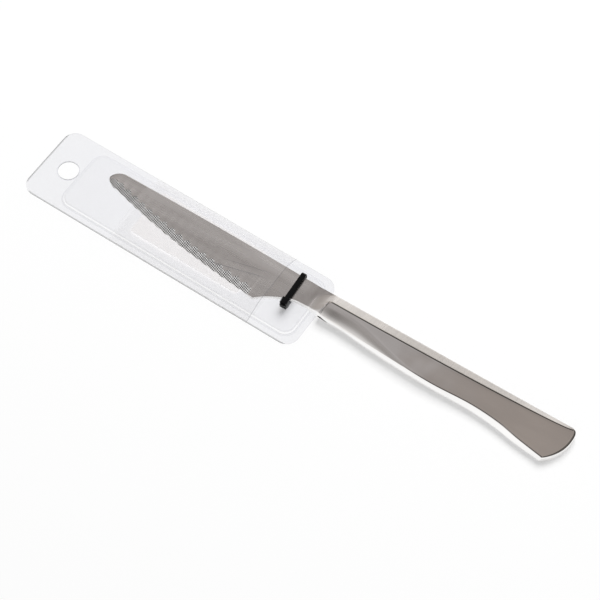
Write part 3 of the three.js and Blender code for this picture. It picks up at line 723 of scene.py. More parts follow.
def lay_skirt(b, h, x, outline):
    """Lay the points between ridge and face on the skirt, above and below."""
    first = CORNER_STEPS + 1
    for i in range(first, first + SKIRT_ROWS):
        outline[i].y = skirt_height(b, h, x, outline[i].x)
        outline[-1 - i].y = -skirt_height(b, h, x, outline[-1 - i].x)


def broad_part(h, x):
    """1 where the face's shoulder is broad, 0 where it is narrow."""
    return 1 - ease((x - h.roll_start) / (h.roll_end - h.roll_start))


def shoulder(h, x, belly):
    """Near edge of the face's shoulder, its width and its fall."""
    swell = swell_at(h, x)
    beside = clamp((x - h.length + h.bevel_extra_at) / h.bevel_extra_span, -1, 1)
    near = belly + h.belly_bevel + h.bevel_extra * (0.5 + 0.5 * math.cos(beside * math.pi))
    front = swell ** SWELL_POWER * broad_part(h, x)
    roll = mix(h.rear_roll, h.front_roll, front)
    return near, roll, roll * mix(h.rear_roll_slope, h.front_roll_slope, front)


def lay_shoulder(h, x, belly, outline, rows):
    """Let the face fall towards its near edge along a parabola, above and below."""
    near, roll, fall = shoulder(h, x, belly)
    first = 2 * (CORNER_STEPS + 1) + SKIRT_ROWS
    half = outline[first].y
    for i in range(first, first + rows[1] + CORNER_STEPS + 1 + rows[2]):
        deep = fall * clamp((near + roll - outline[i].x) / roll) ** 2
        outline[i].y = half - deep
        outline[-1 - i].y = deep - half


def handle_corners(b, h, x, line):
    """Upper corners of a slice of the handle: ridge on the spine side, wide bevel, flat face, its
    shoulder on the belly side and the foot of the belly's bevel."""
    swell = swell_at(h, x)
    spine, bevel, _ = far_side(b, h, x)
    belly = belly_y(line, x)
    back = clamp((h.ramp_crest + h.face_corner - x) / h.face_corner)
    far = spine - bevel - h.face_corner * (1 - math.sqrt(1 - back * back))
    half = skirt_height(b, h, x, far)
    at_butt = ease((x - h.length + h.butt_start) / h.butt_start)
    soft = min(h.face_break, half / 3) * mix(1, h.butt_break, at_butt)
    near, roll, fall = shoulder(h, x, belly)
    turn = mix(soft, soft / 4, 1 - swell if x < 0 else clamp(1 - x / h.ramp_crest))
    return [(spine, skirt_height(b, h, x, spine), soft / 2), (far, half, turn),
            (near + roll / 2, half, soft / 4), (near, half - fall, soft / 2),
            (belly, h.belly_wall * half, soft)]


def mirrored(corners):
    """The same corners on the underside, in the order that closes the slice."""
    return [(y, -z, reach) for y, z, reach in reversed(corners)]


def handle_section(b, h, x, line):
    """Slice of the handle with the seam between its half shells, which gapes at the front."""
    upper = handle_corners(b, h, x, line)
    belly = upper[-1][0]
    along = clamp((x - h.slit_start) / h.slit_length)
    open_seam = math.sin(math.pi * math.sqrt(along))
    shut = h.slit_width / SEAM_PARTS
    low = open_seam * h.slit_rise
    seam = [(belly, shut + low + open_seam * h.slit_width, 0),
            (belly + open_seam * h.slit_depth + shut, low, 0), (belly, low - shut, 0)]
    outline = soften(upper + seam + mirrored(upper), HANDLE_ROWS)
    lay_skirt(b, h, x, outline)
    lay_shoulder(h, x, belly, outline, HANDLE_ROWS)
    return at_x(x, outline)


def butt_end(h, y):
    """Reach of the butt's arc at a distance y from the tang's axis."""
    centre = h.length - h.butt_radius
    corner_y = h.spine_side_butt - h.butt_corner
    reach = h.butt_radius - h.butt_corner
    corner_x = centre + math.sqrt(reach ** 2 - (corner_y - h.butt_axis) ** 2)
    meet = Vector((corner_x - centre, corner_y - h.butt_axis)).normalized()
    if y - h.butt_axis <= meet.y * h.butt_radius:
        return centre + math.sqrt(max(0.0, h.butt_radius ** 2 - (y - h.butt_axis) ** 2))
    return corner_x + math.sqrt(max(0.0, h.butt_corner ** 2 - (y - corner_y) ** 2))


def handle_sections(b, h):
    """Slices from the weld to the butt, where they bend to its arc and close to a wall."""
    line = belly_line(b, h)
    start = h.length - h.butt_start
    front = 2 * h.ramp_crest + h.slit_length
    places = [mix(0, front, i / FRONT_SECTIONS) for i in range(FRONT_SECTIONS)]
    places += [mix(front, h.length, i / REAR_SECTIONS) for i in range(REAR_SECTIONS + 1)]
    sections = []
    for x in places:
        section = handle_section(b, h, x, line)
        for point in section:
            if x > start:
                point.x = mix(start, butt_end(h, point.y), (x - start) / h.butt_start)
        sections.append(section)
    last = sections.pop()
    half = half_thickness(h, h.length)
    steps = 2 * CORNER_STEPS
    for step in range(steps + 1):
        turn = step / steps * math.pi / 2
        back = Vector((h.butt_roll * (1 - math.sin(turn)), 0, 0))
        low = 1 - h.butt_drop * (1 - math.cos(turn)) / half
        sections.append([Vector((p.x, p.y, p.z * low)) - back for p in last])
    sections.append([Vector((p.x, p.y, 0)) for p in last])
    return sections


# Finishes
class Graph:
    """Short ways to add nodes to a node tree and to join them."""

    def __init__(self, tree):
        self.tree = tree

    def feed(self, socket, source):
        """Link an input to a socket, or give it a plain value or colour."""
        if isinstance(source, bpy.types.NodeSocket):
            self.tree.links.new(source, socket)
        else:
            socket.default_value = (*source, 1) if socket.type == "RGBA" else source

    def add(self, kind, inputs=None, **settings):
        """Add a node with its settings, and feed its inputs by name or by place."""
        node = self.tree.nodes.new(kind)
        for name, value in settings.items():
            setattr(node, name, value)
        for name, source in (inputs or {}).items():
            self.feed(node.inputs[name], source)
        return node

    def place(self, kind="Object"):
        return self.add("ShaderNodeTexCoord").outputs[kind]

    def attribute(self, name):
        return self.add("ShaderNodeAttribute", attribute_name=name).outputs["Fac"]

    def light_path(self):
        return self.add("ShaderNodeLightPath").outputs

    def calc(self, operation, *sources):
        node = self.add("ShaderNodeMath", dict(enumerate(sources)), operation=operation)
        return node.outputs["Value"]

    def vector(self, operation, place, other):
        """Outputs of a vector operation."""
        return self.add("ShaderNodeVectorMath", {0: place, 1: other}, operation=operation).outputs

    def noise(self, place, scale, detail, roughness=0.5):
        inputs = {"Vector": place, "Scale": scale, "Detail": detail, "Roughness": roughness}
        return self.add("ShaderNodeTexNoise", inputs).outputs["Fac"]

    def carry(self, value, limits, to=(0.0, 1.0), kind="LINEAR"):
        """Carry a value from one range to another, cut off at its ends."""
        inputs = {"Value": value, "From Min": limits[0], "From Max": limits[1],
                  "To Min": to[0], "To Max": to[1]}
        return self.add("ShaderNodeMapRange", inputs, interpolation_type=kind).outputs["Result"]

    def smooth(self, value, low, high):
        """Smooth step of a value between two limits."""
        return self.carry(value, (low, high), kind="SMOOTHSTEP")

    def mix(self, factor, a, b):
        """Blend two values."""
        return self.add("ShaderNodeMix", {0: factor, 2: a, 3: b}).outputs[0]

    def tone(self, factor, a, b):
        """Blend two colours."""
        inputs = {0: factor, 6: a, 7: b}
        return self.add("ShaderNodeMix", inputs, data_type="RGBA").outputs[2]

    def shaders(self, factor, a, b):
        """Blend two shaders."""
        return self.add("ShaderNodeMixShader", {0: factor, 1: a, 2: b}).outputs["Shader"]

    def ramp(self, value, stops):
        """Colours along a value, from stops of place and colour."""
        node = self.add("ShaderNodeValToRGB", {"Fac": value})
        while len(node.color_ramp.elements) < len(stops):
            node.color_ramp.elements.new(0.5)
        for element, (at, tone) in zip(node.color_ramp.elements, stops):
            element.position = at
            element.color = (*tone, 1)
        return node.outputs["Color"]

    def bump(self, height, depth):
        inputs = {"Height": height, "Distance": depth, "Strength": 1.0}
        return self.add("ShaderNodeBump", inputs).outputs["Normal"]


class MaterialGraph(Graph):
    """Nodes of a new material."""

    def __init__(self, name):
        self.material = bpy.data.materials.new(name)
        self.material.use_nodes = True
        super().__init__(self.material.node_tree)

    def shade(self, inputs):
        """Feed the material's shader, and return the material."""
        shader = self.tree.nodes["Principled BSDF"]
        for name, source in inputs.items():
            self.feed(shader.inputs[name], source)
        return self.material


def tones(colour_value, factors):
    """Darker or lighter versions of a colour."""
    return [tuple(min(1.0, channel * factor) for channel in colour_value) for factor in factors]


def brush_group():
    """Fine scratches that a belt leaves: long thin noise as a height, a roughness and a tone."""
    name = "Brush lines"
    if name in bpy.data.node_groups:
        return bpy.data.node_groups[name]
    tree = bpy.data.node_groups.new(name, "ShaderNodeTree")
    for label, kind, default in (("Stretch", "NodeSocketVector", (1, 1, 1)),
                                 ("Tone stretch", "NodeSocketVector", (1, 1, 1)),
                                 ("Rough low", "NodeSocketFloat", 0.2),
                                 ("Rough high", "NodeSocketFloat", 0.4)):
        socket = tree.interface.new_socket(label, in_out="INPUT", socket_type=kind)
        socket.default_value = default
    for label in ("Height", "Roughness", "Tone"):
        tree.interface.new_socket(label, in_out="OUTPUT", socket_type="NodeSocketFloat")
    graph = Graph(tree)
    given = tree.nodes.new("NodeGroupInput").outputs
    result = tree.nodes.new("NodeGroupOutput").inputs
    place = graph.place()
    lines, tone = (
        graph.noise(graph.vector("MULTIPLY", place, given[label])["Vector"], 1.0, detail)
        for label, detail in (("Stretch", 3.0), ("Tone stretch", 2.0)))
    rough = graph.carry(lines, NOISE_RANGE, (given["Rough low"], given["Rough high"]))
    graph.feed(result["Height"], lines)
    graph.feed(result["Roughness"], rough)
    graph.feed(result["Tone"], graph.carry(tone, NOISE_RANGE))
    return tree


def brush(graph, stretch, tone_stretch, rough):
    """The scratches in a material, with their stretches and their range of roughness."""
    inputs = {"Stretch": stretch, "Tone stretch": tone_stretch,
              "Rough low": rough[0], "Rough high": rough[1]}
    return graph.add("ShaderNodeGroup", inputs, node_tree=brush_group()).outputs


def blade_steel(finish, neck_limits):
    """Satin steel, brushed along the blade and across the neck, with painted glints and painted
    shade in a chequer on the ground edge.
    """
    graph = MaterialGraph("satin_blade_steel")
    along, across = (brush(graph, *settings) for settings in (BLADE_BRUSH, NECK_BRUSH))
    place = graph.place()
    split = graph.add("ShaderNodeSeparateXYZ", {"Vector": place}).outputs
    neck = graph.carry(split["X"], neck_limits)
    tone, rough, height = (graph.mix(neck, along[name], across[name])
                           for name in ("Tone", "Roughness", "Height"))
    ground = graph.attribute("ground")
    glint_dots = painted_groove_glints(graph, place)
    low, dark, light = tones(finish.blade, BLADE_TONES)
    # Painted glints and painted shade: white points on dark steel
    points = graph.tone(glint_dots, low, WHITE)
    steel = graph.tone(tone, dark, light)
    scattered = graph.calc("MULTIPLY", glint_dots, ground)
    return graph.shade({
        "Base Color": graph.tone(ground, steel, points),
        "Metallic": graph.calc("MULTIPLY_ADD", scattered, -GLINT_SCATTER, 1.0),
        "Roughness": graph.mix(ground, rough, GROUND_ROUGHNESS),
        "Normal": graph.bump(height, BRUSH_DEPTH),
    })


def painted_groove_glints(graph, place):
    """Painted glints: chequered light and dark points on the ground edge, for the light that two
    slanted sets of fine grooves catch.
    """
    waves = []
    for along, across in CUT_GROOVES:
        slant = (2 * math.pi * along, 2 * math.pi * across, 0)
        waves.append(graph.calc("SINE", graph.vector("DOT_PRODUCT", place, slant)["Value"]))
    sharp = graph.calc("MULTIPLY_ADD", graph.calc("ADD", *waves), *GLINT_CONTRAST)
    return graph.calc("MINIMUM", graph.calc("MAXIMUM", sharp, 0.0), 1.0)


def handle_steel(finish):
    """Mirror faces, with the spine bevel left satin, and painted shade on the faces marked gap:
    inside the open seam, and a painted dark reflection line along the flat face's front edge.
    """
    graph = MaterialGraph("polished_handle_steel")
    satin = brush(graph, *HANDLE_BRUSH)
    steel = graph.tone(satin["Tone"], *tones(finish.handle, HANDLE_TONES))
    polish = graph.attribute("polish")
    return graph.shade({
        # Painted shade: the gap attribute blends the steel towards near-black
        "Base Color": graph.tone(graph.attribute("gap"), steel, PAINTED_SHADE_TONE),
        "Metallic": 1.0,
        "Roughness": graph.mix(polish, satin["Roughness"], MIRROR_ROUGHNESS),
        "Normal": graph.bump(graph.noise(graph.place(), *HANDLE_WAVES), HANDLE_WAVE_DEPTH),
    })


def clear_plastic(name, tint, rim, edge_on, creases=()):
    """Clear sheet: faint face on, stronger edge on, with painted shade on its cut edges and its
    creases.
    """
    graph = MaterialGraph(name)
    place = graph.place()
    # Painted shade: the rim attribute and the crease lines blend in the dark rim colour and make
    # the sheet more opaque there
    dark = graph.attribute("rim")
    for crease in creases:
        dark = graph.calc("MAXIMUM", dark, crease_line(graph, place, *crease))
    full = graph.calc("MINIMUM", graph.calc("MULTIPLY", dark, RIM_GAIN), 1.0)
    facing = graph.add("ShaderNodeLayerWeight", {"Blend": SHEET_BLEND}).outputs["Facing"]
    slanted = graph.calc("MULTIPLY", facing, edge_on)
    seen = graph.calc("ADD", slanted, graph.attribute("haze_and_shade"))
    seen = graph.calc("MAXIMUM", seen, dark)
    direct = graph.light_path()["Is Camera Ray"]
    light = graph.calc("MULTIPLY_ADD", direct, 1 - SHEET_INDIRECT, SHEET_INDIRECT)
    return graph.shade({
        "Base Color": graph.tone(full, tint, rim),
        "Roughness": SHEET_ROUGHNESS,
        "IOR": SHEET_IOR,
        "Alpha": graph.calc("MULTIPLY", seen, light),
        "Normal": graph.bump(graph.noise(place, *SHEET_WAVES), SHEET_WAVE_DEPTH),
    })


def crease_line(graph, place, start, end, width, depth):
    """Painted shade of a crease: a thin straight dark mark between two points seen from above,
    fading towards its ends.
    """
    start, end = Vector(start), Vector(end)
    along = (end - start).normalized()
    marks = []
    for axis, limit in ((along, (end - start).length / 2), (along.orthogonal(), width)):
        reach = graph.vector("DOT_PRODUCT", place, (axis.x, axis.y, 0))["Value"]
        off = graph.calc("SUBTRACT", reach, axis.dot((start + end) / 2))
        marks.append(graph.smooth(graph.calc("ABSOLUTE", off), limit, limit / 2))
    return graph.calc("MULTIPLY", graph.calc("MULTIPLY", *marks), depth)


def rough_finish(name, tint, roughness, grain_scale, grain_depth, specular=0.5):
    """Matte finish with a fine grain that also shifts its tone a little."""
    graph = MaterialGraph(name)
    grain = graph.noise(graph.place(), grain_scale, *GRAIN_DETAIL)
    spread = (roughness - GRAIN_ROUGHNESS, roughness + GRAIN_ROUGHNESS)
    return graph.shade({
        "Base Color": graph.tone(grain, *tones(tint, GRAIN_TONES)),
        "Roughness": graph.carry(grain, NOISE_RANGE, spread),
        "Specular IOR Level": specular,
        "Normal": graph.bump(grain, grain_depth),
    })


# Guard, in its own frame
def on_tray(scene, x, y):
    """Tray's place of a point of the knife."""
    turned = Matrix.Rotation(-scene.knife_guard.turn, 2)
    return turned @ Vector((x + scene.knife_tie.setback, y))


def tray_frame(scene):
    """Ends, sides and heights of the tray in its own frame."""
    b, h, g, t = scene.knife_blade, scene.knife_handle, scene.knife_guard, scene.knife_tie
    platform = -b.neck_thickness / 2 - g.clearance
    return {
        "start": on_tray(scene, -b.length, b.tip_height).x - g.tip_room - g.tab_length,
        "end": t.setback + h.ramp_foot + g.ramp_room,
        "low": -b.heel_depth - g.edge_room,
        "high": b.spine_height + b.spine_crown + g.spine_room,
        "platform": platform,
        "flange": platform - g.rise,
    }


def rounded_rectangle(x0, x1, y0, y1, radius, z):
    """Points of a level rectangle with round corners."""
    centres = ((x1 - radius, y0 + radius), (x1 - radius, y1 - radius),
               (x0 + radius, y1 - radius), (x0 + radius, y0 + radius))
    points = []
    for corner, (x, y) in enumerate(centres):
        for step in range(RING_STEPS + 1):
            turn = (corner - 1 + step / RING_STEPS) * math.pi / 2
            points.append(Vector((x + radius * math.cos(turn), y + radius * math.sin(turn), z)))
    return points


def film_end(scene):
    """Place of the film's end beside the tie."""
    return -scene.knife_tie.head_width / 2 - scene.knife_guard.film_clear


def tie_legs(scene):
    """Near and far leg of the strap, and the ends of the tie's head, in the guard's frame."""
    b, t = scene.knife_blade, scene.knife_tie
    head_far = edge_y(b, -t.setback - t.strap_width / 2) - scene.knife_guard.clearance
    head_near = head_far - t.head_length
    near = (head_near + head_far - t.strap_thickness) / 2
    far = spine_y(b, -t.setback) + t.gap + t.strap_thickness
    return near, far, head_near, head_far


class KNIFE_OT_blade(bpy.types.Operator):
    """Loft the toothed blade with its neck, ramp and tang"""

    bl_idname = "knife.add_blade"
    bl_label = "Blade"

    def execute(self, context):
        scene = context.scene
        b, h = scene.knife_blade, scene.knife_handle
        bm = bmesh.new()
        ground = bm.faces.layers.float.new("ground")
        sections, marks = blade_sections(b, h)
        first = band_columns()[0] - 1
        for strip, grind in zip(loft(bm, sections), marks):
            for face in strip[first:first + BAND_ROWS + 1]:
                face[ground] = grind
        tang = bmesh.ops.create_cube(bm, size=1)["verts"]
        bmesh.ops.scale(bm, vec=(b.tang_length, b.tang_width, b.tang_thickness), verts=tang)
        bmesh.ops.translate(bm, vec=(b.tang_length / 2, 0, 0), verts=tang)
        place = knife_place(scene)
        weld = place.translation.x
        neck_limits = (weld - scene.knife_tie.setback, weld + h.ramp_foot)
        material = blade_steel(scene.knife_finish, neck_limits)
        blade = finish_piece(bm, "knife_blade", place, material, ["blade"],
                             shadow=False)
        blade.visible_diffuse = False
        return {"FINISHED"}


class KNIFE_OT_handle(bpy.types.Operator):
    """Loft the hollow handle as one welded and polished skin"""

    bl_idname = "knife.add_handle"
    bl_label = "Handle"

    def execute(self, context):
        scene = context.scene
        b, h = scene.knife_blade, scene.knife_handle
        bm = bmesh.new()
        polish, gap = face_layers(bm, "polish", "gap")
        line = belly_line(b, h)
        sections = handle_sections(b, h)
        corner = CORNER_STEPS + 1
        skirt = corner + SKIRT_ROWS
        face_end = skirt + corner + FACE_ROWS
        shoulder_end = face_end + corner + SIDE_ROWS
        seam = shoulder_end + 2 * corner
        for section, strip in zip(sections, loft(bm, sections)):
            x = section[0].x
            near, roll, _ = shoulder(h, x, belly_y(line, x))
            gapes = h.slit_start < x < h.slit_start + h.slit_length
            in_painted_line = h.ramp_crest <= x < h.ramp_crest + h.painted_front_line
            for column, face in enumerate(strip):
                bevel = column < skirt or column >= len(strip) - skirt
                ramp = x < h.ramp_crest and column < shoulder_end
                face[polish] = 1.0
                if bevel or ramp:
                    face[polish] = 0.0
                elif column < shoulder_end:
                    rolled = clamp((near + roll - section[column].y) / roll)
                    face[polish] = 1 - SHOULDER_SATIN * rolled * broad_part(h, x)
                # Painted shade: the faces inside the open seam are made near-black, for the shade
                # in that recess
                if gapes and seam + corner - 1 <= column < seam + 2 * corner:
                    face[gap] = 1.0
                # Painted reflection: a dark line along the face's front edge, fading towards the
                # near side, stands in for a dark reflection
                if in_painted_line and skirt <= column < face_end:
                    face[gap] = PAINTED_LINE_SHADE * (face_end - column) / (face_end - skirt)
        bmesh.ops.remove_doubles(bm, verts=bm.verts, dist=MERGE)
        finish_piece(bm, "knife_handle", knife_place(scene), handle_steel(scene.knife_finish),
                     ["handle_shell_upper", "handle_shell_lower"])
        return {"FINISHED"}


class KNIFE_OT_tray(bpy.types.Operator):
    """Form the clear tray: flange, hang hole, skirt and raised platform"""

    bl_idname = "knife.add_tray"
    bl_label = "Guard tray"

    def execute(self, context):
        scene = context.scene
        g, t = scene.knife_guard, scene.knife_tie
        tray = tray_frame(scene)
        bm = bmesh.new()
        middle = (tray["low"] + tray["high"]) / 2
        hole_place = Vector((tray["start"] + g.hang_hole_at, middle, tray["flange"]))
        shadow_ring_radius = g.hang_hole / 2 + g.hole_shadow_ring

        def ring(inset, z, tab=0, flange=0):
            return rounded_rectangle(
                tray["start"] + tab + inset, tray["end"] - flange - inset,
                tray["low"] + flange + inset, tray["high"] - flange - inset, g.corner - inset, z)

        def hole_ring(radius):
            turns = (math.pi * step / (2 * RING_STEPS) for step in range(4 * RING_STEPS))
            return [hole_place + radius * Vector((math.cos(turn), math.sin(turn), 0))
                    for turn in turns]

        rim_loop, rim_edges = draw_loop(bm, ring(g.rim_shadow_strip, tray["flange"]))
        hole_loop, hole_edges = draw_loop(bm, hole_ring(shadow_ring_radius))
        flat_parts = (g.tab_length, g.flange_width)
        loop, edges = draw_loop(bm, ring(0, tray["flange"], *flat_parts))
        bmesh.ops.triangle_fill(bm, edges=rim_edges + hole_edges + edges, use_beauty=True)
        grow(bm, rim_loop, rim_edges, ring(0, tray["flange"]))
        grow(bm, hole_loop, hole_edges, hole_ring(g.hang_hole / 2))
        for step in range(1, SKIRT_STEPS + 1):
            along = step / SKIRT_STEPS
            z = tray["flange"] + g.rise * ease(along)
            loop, edges = grow(bm, loop, edges, ring(g.skirt_run * along, z, *flat_parts))
        near, far, _, _ = tie_legs(scene)
        slits = []
        wide = t.strap_width / 2 + g.slit_gap
        turn = Matrix.Rotation(t.turn, 4, "Z")
        for leg in (near, far - t.strap_thickness):
            y0, y1 = leg - g.slit_gap, leg + t.strap_thickness + g.slit_gap
            slits += draw_loop(bm, [turn @ Vector((x, y, tray["platform"]))
                                    for x, y in rectangle(-wide, wide, y0, y1)])[1]
        bmesh.ops.triangle_fill(bm, edges=edges + slits, use_beauty=True)
        thicken(bm, g.sheet)
        rim, haze_and_shade = face_layers(bm, "rim", "haze_and_shade")
        bm.normal_update()
        for face in bm.faces:
            centre = face.calc_center_median()
            flat = abs(face.normal.z)
            from_hole = (centre.xy - hole_place.xy).length
            near_rim = min(centre.y - tray["low"], centre.x - tray["start"]) < g.rim_shadow_strip
            # Painted shade: the cut edges and the hole's wall get the dark rim colour
            if flat < UPRIGHT:
                face[rim] = RIM_OUTER if near_rim or from_hole < g.hang_hole else RIM_INNER
            # Painted shadow: a darker strip along the near rim and the tab end, since the sheet
            # casts no shadow
            elif near_rim:
                face[rim] = PAINTED_EDGE_SHADOW
            # Painted shadow: a hazier ring round the hang hole, for the sheet's shadow seen inside
            # it
            elif from_hole < shadow_ring_radius:
                face[haze_and_shade] = PAINTED_HOLE_SHADOW
            # Painted light and shade: steep faces of the skirt get little haze and its bends much,
            # for highlight bands on the slope and dark lines at the bends
            elif flat < STEEP:
                face[haze_and_shade] = PAINTED_STEEP_LIGHT
            elif flat < LEVEL:
                face[haze_and_shade] = PAINTED_BEND_SHADE
            else:
                raised = centre.z > tray["platform"] - g.sheet * 1.5
                face[haze_and_shade] = HAZE_PLATFORM if raised else HAZE_FLANGE
        finish = scene.knife_finish
        material = clear_plastic("clear_formed_sheet", finish.sheet, finish.rim, TRAY_EDGE_ON)
        finish_piece(bm, "guard_tray_sheet", guard_place(scene), material, ["guard_tray"],
                     shadow=False)
        return {"FINISHED"}


class KNIFE_OT_film(bpy.types.Operator):
    """Draw the clear film tight round tray and blade"""

    bl_idname = "knife.add_film"
    bl_label = "Film sleeve"

    def execute(self, context):
        scene = context.scene
        g = scene.knife_guard
        tray = tray_frame(scene)
        end = film_end(scene)
        start = end - g.film_length
        places = [mix(start, end - g.film_lip, i / FILM_SECTIONS)
                  for i in range(FILM_SECTIONS + 1)] + [end]
        bm = bmesh.new()
        loft(bm, [self.section(scene, tray, x) for x in places])
        caps = [face for face in bm.faces if len(face.verts) > 4]
        bmesh.ops.delete(bm, geom=caps, context="FACES_ONLY")
        bmesh.ops.recalc_face_normals(bm, faces=bm.faces)
        rim, haze_and_shade = face_layers(bm, "rim", "haze_and_shade")
        for face in bm.faces:
            # Painted shadow: the upper face of the film's cut end gets the dark rim colour, for
            # that edge and the shadow it casts
            lip = face.calc_center_median().x > end - g.film_lip and face.normal.z > 0
            face[rim] = PAINTED_EDGE_SHADOW if lip else 0.0
            face[haze_and_shade] = HAZE_FILM
        finish = scene.knife_finish
        material = clear_plastic("clear_film", finish.film, finish.rim, FILM_EDGE_ON, FILM_CREASES)
        finish_piece(bm, "guard_film", guard_place(scene), material, ["film_sleeve"],
                     shadow=False)
        return {"FINISHED"}

    def section(self, scene, tray, x):
        """Slice of the film: taut from rim to blade, over the blade and under the tray."""
        b, g = scene.knife_blade, scene.knife_guard
        spread = g.film_gap
        knife_x = x - scene.knife_tie.setback
        low = edge_y(b, knife_x) if knife_x < -b.heel_setback else -b.heel_depth
        edge = on_tray(scene, knife_x, low).y - spread
        spine = on_tray(scene, knife_x, spine_y(b, knife_x)).y + spread
        top = b.neck_thickness / 2 + spread
        rim = tray["flange"] + spread
        bottom = tray["flange"] - g.sheet - spread
        inset = g.flange_width + g.skirt_run * SKIRT_SHARE
        high, deep = tray["high"] + spread, tray["low"] - spread

        def shoulder_corner(rim_y, shoulder_y, blade_y):
            straight = mix(rim, top, (shoulder_y - rim_y) / (blade_y - rim_y))
            return (shoulder_y, max(straight, tray["platform"] + spread), FILM_ROUND)

        corners = [(high, rim, FILM_FOLD), shoulder_corner(high, tray["high"] - inset, spine),
                   (spine, top, FILM_ROUND), (edge, top, FILM_ROUND),
                   shoulder_corner(deep, tray["low"] + inset, edge), (deep, rim, FILM_FOLD),
                   (deep, bottom, FILM_FOLD), (high, bottom, FILM_FOLD)]
        return at_x(x, soften(corners, FILM_ROWS))


class KNIFE_OT_tie(bpy.types.Operator):
    """Bend the toothed strap round neck and tray, and add its head"""

    bl_idname = "knife.add_tie"
    bl_label = "Cable tie"

    def execute(self, context):
        scene = context.scene
        b, g, t = scene.knife_blade, scene.knife_guard, scene.knife_tie
        tray = tray_frame(scene)
        near, far, head_near, head_far = tie_legs(scene)
        top = b.neck_thickness / 2 + t.gap + t.tooth_depth + t.strap_thickness
        bottom = tray["platform"] - g.sheet - t.gap - t.strap_thickness
        floor = tray["platform"] + g.clearance
        bm = bmesh.new()
        wide = t.strap_width / 2
        sections = []
        for outer, inner in self.strap_path(t, near, far, top, bottom, head_near - t.tail,
                                            floor + t.head_wall):
            across = inner - outer
            thick = across.length
            corners = [(x, z, t.strap_round) for x, z in rectangle(-wide, wide, 0, thick)]
            sections.append([Vector((point.x, *(outer + across * point.y / thick)))
                             for point in soften(corners, {})])
        loft(bm, sections)
        window_floor = top - t.strap_thickness - t.tooth_depth - t.gap
        self.add_head(bm, t, head_near, head_far, floor, top + t.gap + t.head_wall,
                      window_floor, top + t.gap)
        bm.transform(Matrix.Rotation(t.turn, 4, "Z"))
        material = rough_finish("black_nylon", scene.knife_finish.nylon, *NYLON_FINISH,
                                specular=NYLON_SPECULAR)
        finish_piece(bm, "cable_tie_strap", guard_place(scene), material,
                     ["cable_tie"])
        return {"FINISHED"}

    def strap_path(self, t, near, far, top, bottom, tail, floor):
        """Outer and inner side of the strap: from the head down under the tray, up and over the
        neck, with its teeth inside, to its trimmed tail."""
        outer = t.bend + t.strap_thickness
        pairs = [(Vector((near, floor)), Vector((near + t.strap_thickness, floor)))]
        turns = ((near + outer, bottom + outer, 180), (far - outer, bottom + outer, 270),
                 (far - outer, top - outer, 360))
        for y, z, start in turns:
            for i in range(RING_STEPS + 1):
                turn = math.radians(start + 90 * i / RING_STEPS)
                spoke = Vector((math.cos(turn), math.sin(turn)))
                pairs.append((Vector((y, z)) + spoke * outer, Vector((y, z)) + spoke * t.bend))
        inside = top - t.strap_thickness
        teeth = int((far - outer - tail) / t.tooth_pitch)
        for i in range(teeth):
            y = far - outer - i * t.tooth_pitch
            for share_of_pitch, deep in TOOTH_PROFILE:
                at = y - share_of_pitch * t.tooth_pitch
                pairs.append((Vector((at, top)), Vector((at, inside - deep * t.tooth_depth))))
        return pairs + [(Vector((tail, top)), Vector((tail, inside)))]

    def add_head(self, bm, t, near, far, low, high, window_low, window_high):
        """A short box with a window through it, its edges rounded."""
        wide = t.head_width / 2
        window = t.strap_width / 2 + t.gap / 3
        loops = []
        for side in (rectangle(-wide, wide, low, high),
                     rectangle(-window, window, window_low, window_high)):
            loops += draw_loop(bm, [Vector((x, near, z)) for x, z in side])[1]
        ring = bmesh.ops.bridge_loops(bm, edges=loops)["faces"]
        made = bmesh.ops.extrude_face_region(bm, geom=ring)["geom"]
        moved = [item for item in made if isinstance(item, bmesh.types.BMVert)]
        bmesh.ops.translate(bm, vec=(0, far - near, 0), verts=moved)
        faces = set(ring) | {item for item in made if isinstance(item, bmesh.types.BMFace)}
        verts = {vert for face in faces for vert in face.verts}
        edges = {edge for vert in verts for edge in vert.link_edges}
        sharp = [edge for edge in edges if len(edge.link_faces) == 2
                 and edge.calc_face_angle(0) > CREASE]
        bmesh.ops.bevel(bm, geom=sharp, offset=t.head_round, offset_type="OFFSET",
                        segments=HEAD_SEGMENTS, profile=0.5, affect="EDGES", material=-1,
                        clamp_overlap=True)


class KNIFE_OT_label(bpy.types.Operator):
    """Lay the blank label under the tray"""

    bl_idname = "knife.add_label"
    bl_label = "Label"

    def execute(self, context):
        scene = context.scene
        g = scene.knife_guard
        tray = tray_frame(scene)
        start = film_end(scene) - g.film_length + g.label_start
        middle = (tray["low"] + tray["high"]) / 2 + g.label_offset
        outline = rounded_rectangle(start, start + g.label_length, middle - g.label_width / 2,
                                    middle + g.label_width / 2, g.label_corner,
                                    tray["flange"] - g.sheet + g.label_sheet)
        bm = bmesh.new()
        bmesh.ops.triangle_fill(bm, edges=draw_loop(bm, outline)[1], use_beauty=True)
        thicken(bm, g.label_sheet)
        material = rough_finish("blank_paper", scene.knife_finish.paper, *PAPER_FINISH)
        finish_piece(bm, "blank_label", guard_place(scene), material, ["paper_label"],
                     shadow=False)
        return {"FINISHED"}


class KNIFE_OT_filler(bpy.types.Operator):
    """Dress the filling of the handle, whose solid stays as it is"""

    bl_idname = "knife.dress_filler"
    bl_label = "Filling"

    def execute(self, context):
        cement = rough_finish("cast_cement", context.scene.knife_finish.cement, *CEMENT_FINISH)
        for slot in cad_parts["handle_filler"].material_slots:
            slot.material = cement
        return {"FINISHED"}


